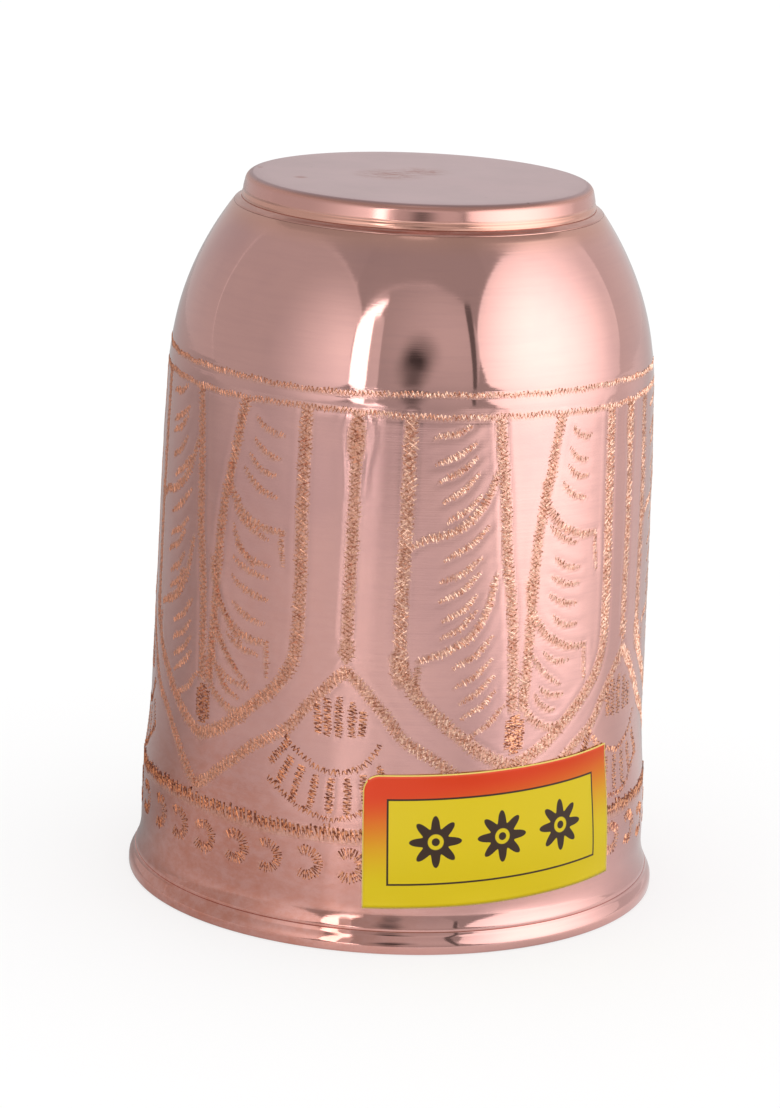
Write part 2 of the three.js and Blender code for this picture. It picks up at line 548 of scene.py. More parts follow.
@dataclass(frozen=True)
class FootCopper:
    """Foot disc: a dull greyish face with small pits, and a bright turned rim, with painted shade where it
    rounds over from the face.
    """

    face_height: float
    name: str = "foot_copper"
    face: Triple = (0.49, 0.316, 0.322)
    rim: Triple = (0.72, 0.385, 0.34)
    pit: Triple = (0.22, 0.12, 0.10)
    scuff: Triple = (0.33, 0.11, 0.085)
    # painted shade: a darker, redder colour where the rim rounds over from the face
    rim_shade: Triple = (0.64, 0.32, 0.26)
    golden: Triple = (0.77, 0.40, 0.30)
    golden_heights: Point = (0.0981, 0.0975)

    def build(self) -> bpy.types.Material:
        """Makes the material."""
        sketch = ShaderSketch(self.name)
        height = sketch.place()[2]
        normal = sketch.add("ShaderNodeNewGeometry").outputs["Normal"]
        upward = sketch.add("ShaderNodeSeparateXYZ", {0: normal}).outputs[2]
        high = sketch.band(height, (self.face_height - 1.2) * MM, (self.face_height - 0.1) * MM)
        dulled = sketch.times(sketch.band(upward, 0.62, 1.0), high)
        turned = sketch.times(sketch.band(upward, 0.22, 0.5), high)
        cloud = sketch.noise((70, 70, 70), 5.0)
        golden = sketch.times(sketch.band(height, *self.golden_heights), 0.7)
        # the rounded rim takes the painted shade colour
        side = sketch.mix(turned, sketch.mix(golden, self.rim, self.golden), self.rim_shade)
        rough = sketch.scaled(turned, 0.14, sketch.scaled(dulled, 0.06, 0.15))
        relief = sketch.plus(sketch.times(sketch.noise((60, 60, 3600)), 0.5), sketch.times(cloud, 0.5))
        base = sketch.mix(dulled, side, self.spotted(sketch, cloud))
        return sketch.metal(base, rough, Normal=sketch.bump(relief, 0.05, 0.0002))

    def spotted(self, sketch: ShaderSketch, cloud: Socket) -> Socket:
        """Returns the colour of the face: cloudy, with small pits and reddish scuffs.

        Args:
            sketch: The material's nodes.
            cloud: Noise that clouds the face.

        Returns:
            The colour.
        """
        shaded = tuple(0.9 * c for c in self.face)
        face = sketch.mix(sketch.band(cloud, 0.35, 0.7), self.face, shaded)
        cells = sketch.add("ShaderNodeTexVoronoi", {"Vector": sketch.stretched((260, 260, 260)), "Scale": 1.0})
        pits = sketch.times(sketch.band(cells.outputs["Distance"], 0.12, 0.05), sketch.band(cloud, 0.5, 0.6))
        return sketch.mix(pits, sketch.mix(self.scuffs(sketch), face, self.scuff), self.pit)

    def scuffs(self, sketch: ShaderSketch) -> Socket:
        """Returns the reddish scuffs near the middle of the face, where the tumbler has stood and rubbed.

        Args:
            sketch: The material's nodes.

        Returns:
            How far each place is scuffed, from 0 to 1.
        """
        threads = sketch.noise((380, 1100, 380), 5.0, 0.7)
        left = sketch.near((-0.0042, 0.0012, 0.1), 0.0015, 0.0062)
        back = sketch.near((0.0004, 0.0052, 0.1), 0.001, 0.0048)
        rubbed = sketch.times(sketch.most(left, back), sketch.band(threads, 0.44, 0.56))
        spot = sketch.times(sketch.near((-0.0163, -0.0046, 0.1), 0.0002, 0.0013), 0.9)
        speck = sketch.near((-0.0222, 0.0027, 0.1), 0.0001, 0.0006)
        return sketch.most(rubbed, sketch.most(spot, speck))


@dataclass(frozen=True)
class HeatTintedBraze:
    """Brazing metal, red-brown from the torch."""

    name: str = "heat_tinted_braze"
    light: Triple = (0.72, 0.40, 0.34)
    dark: Triple = (0.60, 0.30, 0.25)

    def build(self) -> bpy.types.Material:
        """Makes the material."""
        sketch = ShaderSketch(self.name)
        flow = sketch.noise((140, 140, 900), 4.0)
        base = sketch.mix(sketch.band(flow, 0.35, 0.65), self.dark, self.light)
        return sketch.metal(base, sketch.scaled(flow, 0.15, 0.12), Normal=sketch.bump(flow, 0.12, 0.0003))


@dataclass(frozen=True)
class PrintedPaper:
    """Sticker print: orange-red that fades to yellow, with a ruled frame and a row of plain flowers."""

    width: float
    height: float
    name: str = "printed_paper"
    top: Triple = (0.78, 0.052, 0.006)
    bottom: Triple = (0.80, 0.60, 0.006)
    ink: Triple = (0.045, 0.022, 0.012)
    edge: Triple = (0.86, 0.66, 0.16)
    pitch: float = 9.4
    petals: float = 8.0

    def build(self) -> bpy.types.Material:
        """Makes the material; the print is laid out in millimetres on the sticker's own UV map."""
        sketch = ShaderSketch(self.name)
        flat = sketch.add("ShaderNodeUVMap", uv_map="print").outputs[0]
        uv = sketch.add("ShaderNodeSeparateXYZ", {0: flat}).outputs
        across = sketch.scaled(uv[0], self.width, -self.width / 2)
        up = sketch.scaled(uv[1], self.height, -self.height / 2)
        side = sketch.math("SUBTRACT", self.width / 2, sketch.math("ABSOLUTE", across))
        rise = sketch.math("SUBTRACT", self.height / 2, sketch.math("ABSOLUTE", up))
        margin = sketch.math("MINIMUM", side, rise)
        fade = sketch.band(sketch.scaled(across, -0.10, up), 8.5, -5.0)
        ground = sketch.mix(fade, self.top, self.bottom)
        ground = sketch.mix(sketch.band(margin, 3.35, 3.5), ground, self.bottom)
        rule = sketch.times(sketch.band(margin, 3.2, 3.28), sketch.band(margin, 3.55, 3.47))
        printed = sketch.mix(sketch.most(rule, self.flowers(sketch, across, up)), ground, self.ink)
        base = sketch.mix(sketch.band(margin, 0.22, 0.1), printed, self.edge)
        fibre = sketch.noise((900, 900, 900), 4.0)
        more = {"Specular IOR Level": 0.22, "Normal": sketch.bump(fibre, 0.08, 0.0001)}
        return sketch.surface(base, sketch.scaled(fibre, 0.15, 0.36), more)

    def flowers(self, sketch: ShaderSketch, across: Socket, up: Socket) -> Socket:
        """Returns the ink of three flowers in a row.

        Args:
            sketch: The material's nodes.
            across: Millimetres from the sticker's middle.
            up: The same upwards.

        Returns:
            The ink, from 0 to 1.
        """
        end = self.pitch * 1.5
        shifted = sketch.math("MODULO", sketch.plus(across, end), self.pitch)
        local = sketch.math("SUBTRACT", shifted, self.pitch / 2)
        squares = sketch.plus(sketch.math("POWER", local, 2.0), sketch.math("POWER", up, 2.0))
        radius = sketch.math("SQRT", squares)
        turn = sketch.math("ARCTAN2", up, local)
        petal = sketch.scaled(sketch.math("COSINE", sketch.times(turn, self.petals)), 0.85, 2.75)
        body = sketch.band(sketch.math("SUBTRACT", petal, radius), -0.06, 0.06)
        flower = sketch.most(sketch.times(body, sketch.band(radius, 1.0, 1.15)), sketch.band(radius, 0.6, 0.5))
        return sketch.times(flower, sketch.band(sketch.math("ABSOLUTE", across), end, end - 0.05))


@dataclass(frozen=True)
class WallProfile:
    """Outline of the spun sheet, in millimetres, as the solids have it."""

    height: float
    lip_radius: float
    foot_radius: float
    sheet: float = 0.7
    flare_reach: float = 1.62
    flare_height: float = 6.8
    belly_height: float = 11.0
    waist_draw: float = 1.0
    waist_height: float = 27.0
    wall_taper: float = 0.73
    shoulder_height: float = 70.0
    shoulder_drop: float = 0.25
    flare_lean: float = 0.55
    joggle_step: float = 0.45
    joggle_rise: float = 0.25
    seat_margin: float = 0.4
    neck_bend: float = 0.4
    band_height: float = 2.75
    band_sheet: float = 0.45
    band_crown: float = 0.2
    foot_height: float = 3.6
    cap_sheet: float = 0.9
    braze_reach: float = 1.1
    seam: float = 0.1
    ease: float = 0.22
    ease_height: float = 72.0
    ease_spread: float = 8.0

    @property
    def belly_radius(self) -> float:
        """Outside radius just above the flare."""
        return self.lip_radius - self.flare_reach

    @property
    def waist_radius(self) -> float:
        """Outside radius where the wall starts its long taper."""
        return self.belly_radius - self.waist_draw

    @property
    def shoulder_radius(self) -> float:
        """Outside radius where the shoulder begins."""
        return self.waist_radius - self.wall_taper

    @property
    def seat_height(self) -> float:
        """Height of the flat that the foot's skirt sits on."""
        return self.height - self.foot_height - self.seam

    @property
    def neck_radius(self) -> float:
        """Outside radius of the neck inside the foot's skirt."""
        return self.foot_radius - self.cap_sheet - self.seam

    @property
    def edge(self) -> Point:
        """Outer corner of the sheet's raw edge at the mouth."""
        return (self.lip_radius - self.band_crown - self.band_sheet - self.seam, self.band_sheet + self.seam)

    @property
    def flare_foot(self) -> float:
        """Height where the flare ends, just above the lip band."""
        return self.band_height + self.joggle_rise

    @property
    def lean(self) -> float:
        """Tangent of the sheet's lean under the lip band."""
        return self.flare_lean / (self.band_height - self.edge[1])

    @property
    def leaned_sheet(self) -> float:
        """Thickness of the leaning sheet, measured level."""
        return self.sheet * math.hypot(1, self.lean)

    def lip_radius_at(self, height: float) -> float:
        """Returns the sheet's outside radius under the lip band."""
        return self.edge[0] - (height - self.edge[1]) * self.lean

    def radius_at(self, height: float) -> float:
        """Returns the wall's outside radius at a height up to the end of the shoulder.

        Args:
            height: Height over the mouth.

        Returns:
            The radius.
        """
        if height < self.flare_foot:
            return self.lip_radius_at(height)
        if height < self.flare_height:
            opened = (self.flare_height - height) / (self.flare_height - self.flare_foot)
            widest = self.lip_radius_at(self.band_height) + self.joggle_step
            return self.belly_radius + (widest - self.belly_radius) * opened**2
        if height < self.waist_height:
            t = min(max((height - self.belly_height) / (self.waist_height - self.belly_height), 0.0), 1.0)
            return self.belly_radius - self.waist_draw * t * t * (3 - 2 * t)
        if height < self.shoulder_height:
            t = (height - self.waist_height) / (self.shoulder_height - self.waist_height)
            return self.waist_radius - self.wall_taper * t - self.eased(height)
        radius = self.shoulder_arc_radius
        level = math.sqrt(radius**2 - (height - self.shoulder_height) ** 2)
        return self.shoulder_radius - radius + level - self.eased(height)

    def eased(self, height: float) -> float:
        """Returns how far the spinner's tool has eased the wall into the shoulder at a height."""
        return self.ease * bell(height - self.ease_height, self.ease_spread)

    @property
    def shoulder_end(self) -> Point:
        """Where the shoulder's arc ends, under the brazed seam."""
        return (self.foot_radius + self.braze_reach, self.seat_height - self.shoulder_drop)

    @property
    def shoulder_arc_radius(self) -> float:
        """Radius of the shoulder's arc."""
        across = self.shoulder_radius - self.shoulder_end[0]
        up = self.shoulder_end[1] - self.shoulder_height
        return (across**2 + up**2) / (2 * across)

    def shoulder(self, start: float, steps: int) -> list[Point]:
        """Returns the shoulder's arc from a height up to its end.

        Args:
            start: Height of the first point.
            steps: How many steps follow.

        Returns:
            The points, each a radius and a height.
        """
        radius = self.shoulder_arc_radius
        first = math.degrees(math.asin((start - self.shoulder_height) / radius))
        last = math.degrees(math.asin((self.shoulder_end[1] - self.shoulder_height) / radius))
        turned = arc((self.shoulder_radius - radius, self.shoulder_height), radius, first, last, steps)
        return [(r - self.eased(z), z) for r, z in turned]

    def neck(self) -> list[Point]:
        """Returns the outline from the shoulder's end to the top of the neck."""
        bend = (self.neck_radius + self.neck_bend, self.seat_height + self.neck_bend)
        return [
            (self.foot_radius + self.seat_margin, self.seat_height),
            *arc(bend, self.neck_bend, -90, -180, 3),
            (self.neck_radius, self.seat_height + 1.2),
            (self.neck_radius, self.height - self.cap_sheet - self.seam),
        ]


def smooth_path(points: Sequence[Point], spacing: float, radius: float) -> np.ndarray:
    """Returns a smooth path through points, with even steps.

    Args:
        points: Angles in degrees and heights in millimetres.
        spacing: Step along the path, in millimetres.
        radius: Wall radius that turns angles into lengths.

    Returns:
        Rows of length round the wall and height, in millimetres.
    """
    scale = math.radians(1) * radius
    p = np.array([(a * scale, z) for a, z in points], float)
    if len(p) > 2:
        q = np.vstack([2 * p[0] - p[1], p, 2 * p[-1] - p[-2]])
        t = np.linspace(0, 1, 16, endpoint=False)[:, None]
        parts = [
            0.5 * (2 * b + (c - a) * t + (2 * a - 5 * b + 4 * c - d) * t**2 + (3 * b - a - 3 * c + d) * t**3)
            for a, b, c, d in zip(q, q[1:], q[2:], q[3:])
        ]
        p = np.vstack([*parts, p[-1:]])
    run = np.concatenate([[0], np.cumsum(np.linalg.norm(np.diff(p, axis=0), axis=1))])
    count = max(int(round(run[-1] / spacing)), 1) + 1
    at = np.linspace(0, run[-1], count)
    return np.stack([np.interp(at, run, p[:, 0]), np.interp(at, run, p[:, 1])], axis=1)


def headings(path: np.ndarray) -> np.ndarray:
    """Returns the unit directions along a path, taken so that it runs to the right.

    Args:
        path: Rows of length and height.

    Returns:
        One direction for each row.
    """
    ahead = np.gradient(path, axis=0) if len(path) > 1 else np.array([[1.0, 0.0]])
    ahead /= np.linalg.norm(ahead, axis=1)[:, None]
    return -ahead if ahead[:, 0].sum() < 0 else ahead


@dataclass(frozen=True)
class CutLine:
    """One line of wriggle-cut engraving on the wall: angles in degrees, the rest in millimetres."""

    points: tuple[Point, ...]
    width: float
    teeth: Teeth = Teeth.BOTH
    pitch: float = 0.32
    lanes: int = 1
    slant: float = 30.0
    depth: float = 0.03
    rim: float = 0.03
    ends: float = 1.0
    torn: float = 0.8
    lean: float = 0.0
    uneven: float = 1.0
    ticked: bool = True

    @property
    def sign(self) -> int:
        """Minus one where the ticks lie on the lower side, and one elsewhere."""
        return -1 if self.teeth is Teeth.DOWN else 1

    def half_widths(self, count: int) -> np.ndarray:
        """Returns the line's half width at even steps, narrowed to its ends' share."""
        t = np.linspace(-1, 1, count)
        return self.width / 2 * (1 - (1 - self.ends) * np.abs(t) ** 3)

    def moved(self, angle: float, rise: float = 0.0, mirror: bool = False) -> "CutLine":
        """Returns the line turned by an angle, raised, and mirrored about its own zero if asked."""
        sign = -1 if mirror else 1
        return replace(self, points=tuple((angle + sign * a, z + rise) for a, z in self.points))


@dataclass(frozen=True)
class PanelCuts:
    """Leaf panel: two border lines that meet in a point, a stem and two combed halves."""

    centre: float
    seed: int
    wobble: float = 0.0
    comb: float = 1.0
    border: float = 26.5
    top: float = 73.0

    def lines(self) -> list[CutLine]:
        """Returns every line of the panel but the drop under its stem."""
        drawn = [*self.borders(), *self.stem(), *self.left_half(), *self.right_half()]
        hand = np.random.default_rng(self.seed)
        return [
            line.moved(
                self.centre + hand.uniform(-1, 1) * self.wobble, hand.uniform(-1, 1) * self.wobble * 0.7
            )
            if line.teeth is not Teeth.BOTH
            else line.moved(self.centre)
            for line in drawn
        ]

    def borders(self) -> list[CutLine]:
        """Returns the two border lines and the knob on the left one."""
        side = (
            (self.border, self.top), (self.border, 60.0), (self.border + 0.4, 48.0), (self.border, 41.0),
            (25.0, 37.8), (22.0, 35.0), (17.0, 32.2), (11.0, 29.1), (6.0, 27.0), (0.3, 25.4),
        )
        line = CutLine(side, width=2.1, lanes=2)
        knob = CutLine(((-self.border - 0.6, 40.6), (-self.border + 0.4, 37.8)), width=2.8, lanes=2, rim=0.0)
        return [line, line.moved(0, mirror=True), knob]

    def stem(self) -> list[CutLine]:
        """Returns the two lines beside the stem."""
        left = (
            (-6.0, self.top), (-5.4, 69.0), (-4.7, 65.6), (-3.9, 60.8), (-3.3, 55.0), (-2.1, 50.0),
            (-1.2, 45.0), (-0.6, 39.0), (-0.4, 33.5),
        )
        right = (
            (10.0, self.top), (8.8, 70.0), (7.6, 66.0), (6.5, 63.0), (5.0, 58.7), (4.1, 54.0), (3.7, 49.0),
            (3.2, 43.0), (2.8, 38.0), (2.3, 33.5),
        )
        return [CutLine(side, width=1.8, lanes=2) for side in (left, right)]

    def bulb(self) -> list[CutLine]:
        """Returns the stippled drop under the stem, in its place, as upright lanes."""
        middle, tall, wide = 29.8, 2.7, 1.6
        lane = CutLine((), width=0.85, pitch=0.24, slant=10, rim=0.0, uneven=0.7)
        made = []
        for across in (-1.1, -0.37, 0.37, 1.1):
            half = tall * math.sqrt(1 - (across / wide) ** 2)
            angle = 0.4 + across * 1.63
            made.append(replace(lane, points=((angle, middle + half), (angle, middle - half))))
        return [line.moved(self.centre) for line in made]

    def left_half(self) -> list[CutLine]:
        """Returns the combed strokes and scallops left of the stem; they rise to the right."""
        strokes = (
            (-21.0, 70.5, -12.5, 72.2), (-20.4, 67.0, -11.3, 69.9), (-19.4, 64.7, -11.0, 68.0),
            (-18.4, 61.9, -10.6, 65.8), (-17.4, 59.2, -9.6, 62.9), (-17.6, 54.0, -7.6, 58.6),
            (-18.4, 50.9, -9.0, 54.4), (-18.4, 48.3, -9.2, 52.3), (-17.6, 45.6, -9.8, 49.3),
            (-17.6, 43.3, -9.6, 47.2), (-14.4, 39.2, -5.6, 43.6), (-14.0, 36.6, -5.6, 40.4),
            (-13.0, 34.3, -5.0, 38.2), (-12.4, 32.2, -4.6, 36.0), (-10.6, 29.5, -2.2, 33.8),
        )
        made = [self.stroke(*ends, Teeth.UP) for ends in strokes]
        upper = ((-24.8, 55.4), (-21.7, 56.6), (-15.9, 57.4), (-10.4, 59.8), (-7.0, 63.0), (-5.6, 65.9))
        lower = ((-22.0, 40.1), (-15.9, 41.3), (-10.2, 43.5), (-6.7, 46.9), (-4.8, 51.9))
        tail = ((-21.9, 39.6), (-22.0, 37.0), (-20.6, 34.4))
        made += [self.scallop(points, Teeth.UP) for points in (upper, lower)]
        return [*made, self.scallop(tail, Teeth.DOWN, width=1.1)]

    def right_half(self) -> list[CutLine]:
        """Returns the combed strokes and scallops right of the stem; they fall to the right."""
        strokes = (
            (13.6, 71.6, 19.4, 70.2), (13.0, 68.7, 18.4, 67.0), (12.6, 66.4, 18.4, 64.7),
            (11.0, 64.2, 18.2, 61.7), (8.0, 58.6, 15.6, 55.8), (9.6, 54.0, 16.8, 52.3),
            (9.0, 51.5, 16.8, 50.0), (8.6, 49.0, 16.6, 47.3), (9.6, 45.9, 16.6, 44.3),
            (7.4, 41.0, 14.6, 39.4), (4.4, 41.0, 12.6, 36.2), (6.6, 36.2, 13.4, 34.8),
            (5.4, 35.2, 11.0, 32.8),
        )
        made = [
            self.stroke(a0, z0, a0 + (a1 - a0) * self.comb, z0 + (z1 - z0) * self.comb, Teeth.DOWN)
            for a0, z0, a1, z1 in strokes
        ]
        if self.comb > 1:
            long = (
                (3.4, 47.5, 12.4, 40.4), (3.0, 43.8, 12.0, 35.8), (2.6, 39.6, 9.8, 33.0),
                (8.2, 56.4, 14.6, 51.4),
            )
            made += [self.stroke(*ends, Teeth.DOWN) for ends in long]
        upper = ((6.3, 64.4), (7.4, 61.8), (11.4, 58.6), (16.8, 57.2), (21.6, 56.8))
        middle = ((2.9, 51.0), (4.2, 47.5), (8.2, 43.8), (13.9, 41.8), (19.3, 41.4))
        lower = ((2.6, 36.2), (4.3, 32.9), (9.1, 30.9), (14.0, 31.3), (17.6, 33.4))
        drops = (((22.2, 56.2), (22.9, 51.4)), ((19.9, 41.0), (20.3, 36.2)))
        made += [self.scallop(points, Teeth.DOWN) for points in (upper, middle, lower)]
        made += [self.scallop(points, Teeth.DOWN, width=0.9, pitch=0.36, slant=10) for points in drops]
        return made

    def scallop(
        self, points: tuple[Point, ...], teeth: Teeth,
        width: float = 1.3, pitch: float = 0.34, slant: float = 14
    ) -> CutLine:
        """Returns one scallop between the strokes.

        Args:
            points: Angles and heights along it.
            teeth: Side of the ticks.
            width: Length of a tick.
            pitch: Step from tick to tick.
            slant: How far the ticks lean, in degrees.

        Returns:
            The line.
        """
        return CutLine(points, width, teeth, pitch, slant=slant, ends=0.7)

    def stroke(self, a0: float, z0: float, a1: float, z1: float, teeth: Teeth) -> CutLine:
        """Returns one combed stroke, which sags a little between its ends.

        Args:
            a0: Angle where it starts.
            z0: Height where it starts.
            a1: Angle where it ends.
            z1: Height where it ends.
            teeth: Side of its ticks.

        Returns:
            The line.
        """
        lean, sag = (0.9, -0.45) if teeth is Teeth.UP else (-0.4, -0.3)
        middle = ((a0 + a1) / 2 + lean, (z0 + z1) / 2 + sag)
        return CutLine(((a0, z0), middle, (a1, z1)), 1.0, teeth, slant=12, depth=0.035, rim=0.04, ends=0.5)


@dataclass(frozen=True)
class PillarCuts:
    """Pillar between two panels, the two slopes below it and the fan under them."""

    centre: float
    reach: float
    top: float = 73.0

    def lines(self) -> list[CutLine]:
        """Returns every line of the pillar and its slopes."""
        drawn = [*self.pillar(), *self.drop_rim(), *self.slopes()]
        return [line.moved(self.centre) for line in drawn]

    def pillar(self) -> list[CutLine]:
        """Returns the stippled pillar, wide at its head, and the knob at its foot."""
        shaft = CutLine(
            ((0, self.top), (0.1, 66), (0.1, 55), (-0.2, 43.5)), width=1.9, lanes=2, depth=0.05, rim=0.02
        )
        head = CutLine(((0, self.top - 0.2), (0, 67.0)), width=2.9, lanes=2, depth=0.0, rim=0.0, ends=0.6)
        knob = CutLine(((-0.1, 43.4), (-0.1, 39.6)), width=2.3, lanes=2, depth=0.02, rim=0.0, ends=0.2)
        return [shaft, head, knob]

    def drop_rim(self) -> list[CutLine]:
        """Returns the smooth rim, shaped as a drop, that stands round the pillar's head."""
        side = ((-2.6, 73.4), (-3.8, 71.0), (-3.4, 68.4), (-2.5, 65.6), (-2.0, 62.5))
        rim = CutLine(side, width=0.8, rim=0.05, ticked=False)
        return [rim, rim.moved(0, mirror=True)]

    def slopes(self) -> list[CutLine]:
        """Returns the two lines that run down from the apex to the neighbouring panels' points."""
        upper = ((0.0, 38.6), (0.12, 35.8), (0.24, 32.6), (0.36, 29.2))
        lower = ((0.54, 26.6), (0.72, 23.2), (0.9, 19.7), (1.0, 18.1))
        return [
            CutLine(tuple((share * reach, z) for share, z in (*upper, *lower)), width=1.8, lanes=2)
            for reach in (-self.reach, self.reach)
        ]

    def fan(self) -> list[CutLine]:
        """Returns the fan: an inner and an outer arc and the rays between and above them."""
        inner = (
            (-13.4, 28.6), (-11.2, 27.0), (-6.6, 25.0), (-1.0, 24.3), (3.8, 25.2), (6.8, 27.0), (8.4, 28.6),
        )
        left = ((-17.2, 22.3), (-14.4, 20.8), (-11.4, 19.7), (-6.8, 18.3))
        outer = (*left, (-1.0, 17.8), (3.8, 18.7), (7.4, 20.4), (11.0, 22.6))
        stems = (
            (-6.2, 33.4, -5.8, 29.6), (-3.9, 34.4, -3.7, 29.4), (-1.2, 34.8, -1.2, 29.4),
            (1.8, 34.2, 1.9, 29.6), (4.2, 33.0, 4.2, 29.8),
        )
        rays = (
            (-12.8, 28.0, -16.8, 24.4), (-11.8, 25.6, -14.6, 21.8), (-9.0, 24.6, -11.2, 19.9),
            (-5.8, 23.6, -6.8, 19.1), (-2.2, 23.4, -2.4, 18.7), (1.4, 23.6, 1.8, 18.9), (4.8, 24.2, 6.0, 19.8),
            (8.2, 25.6, 10.6, 21.6),
        )
        edge = CutLine((), width=0.9, pitch=0.36, slant=16, depth=0.02, rim=0.01, torn=0.3)
        ray = CutLine((), 1.2, pitch=0.26, slant=9, ends=0.8, rim=0.005, torn=0.5, lean=8, uneven=0.7)
        made = [replace(edge, points=points) for points in (inner, outer)]
        made += [replace(ray, points=((a0, z0), (a1, z1))) for a0, z0, a1, z1 in (*stems, *rays)]
        return [line.moved(self.centre) for line in made]


@dataclass(frozen=True)
class GirdleCuts:
    """What runs round the wall: two rings over the panels, a zigzag band and a row of open circles."""

    upper_ring: float = 76.2
    lower_ring: float = 73.5
    band: float = 15.8
    circle_height: float = 11.7
    circle_radius: float = 1.75
    circles: int = 38
    wall_radius: float = 35.5
    turn_steps: tuple[int, int, int] = (-180, 181, 6)

    def rings(self) -> list[CutLine]:
        """Returns the two rings, a little unsteady in height as the hand left them."""
        made = []
        for height, phase in ((self.upper_ring, 0.4), (self.lower_ring, 2.1)):
            course = []
            for a in range(*self.turn_steps):
                t = math.radians(a)
                sway = 0.16 * math.sin(3 * t + phase) + 0.1 * math.sin(7 * t + 2 * phase)
                course.append((float(a), height + sway))
            made.append(CutLine(tuple(course), width=0.95, pitch=0.28, slant=24))
        return made

    def zigzag(self) -> CutLine:
        """Returns the band of tall zigzags under the panels."""
        course = tuple(
            (float(a), self.band + 0.2 * math.sin(math.radians(5 * a))) for a in range(*self.turn_steps)
        )
        return CutLine(course, 2.5, pitch=0.3, slant=10, depth=0.01, rim=0.01, torn=0.5, lean=-14, uneven=1.1)

    def circle_row(self) -> list[CutLine]:
        """Returns the open circles, each a ring of ticks that gapes to the left."""
        hand = np.random.default_rng(HAND_SEED)
        circle = CutLine((), 1.5, pitch=0.33, slant=5, depth=0.02, rim=0.01, torn=0.35, uneven=0.5)
        radius = self.circle_radius
        made = []
        for i in range(self.circles):
            angle = -8.2 - i * 360 / self.circles + hand.uniform(-0.7, 0.7)
            middle = self.circle_height + hand.uniform(-0.35, 0.35)
            gape = hand.uniform(35, 62)
            turns = np.radians(np.linspace(180 - gape, -180 + gape, 14))
            course = [
                (angle + math.degrees(radius * math.cos(t) / self.wall_radius), middle + radius * math.sin(t))
                for t in turns
            ]
            made.append(replace(circle, points=tuple(course)))
        return made


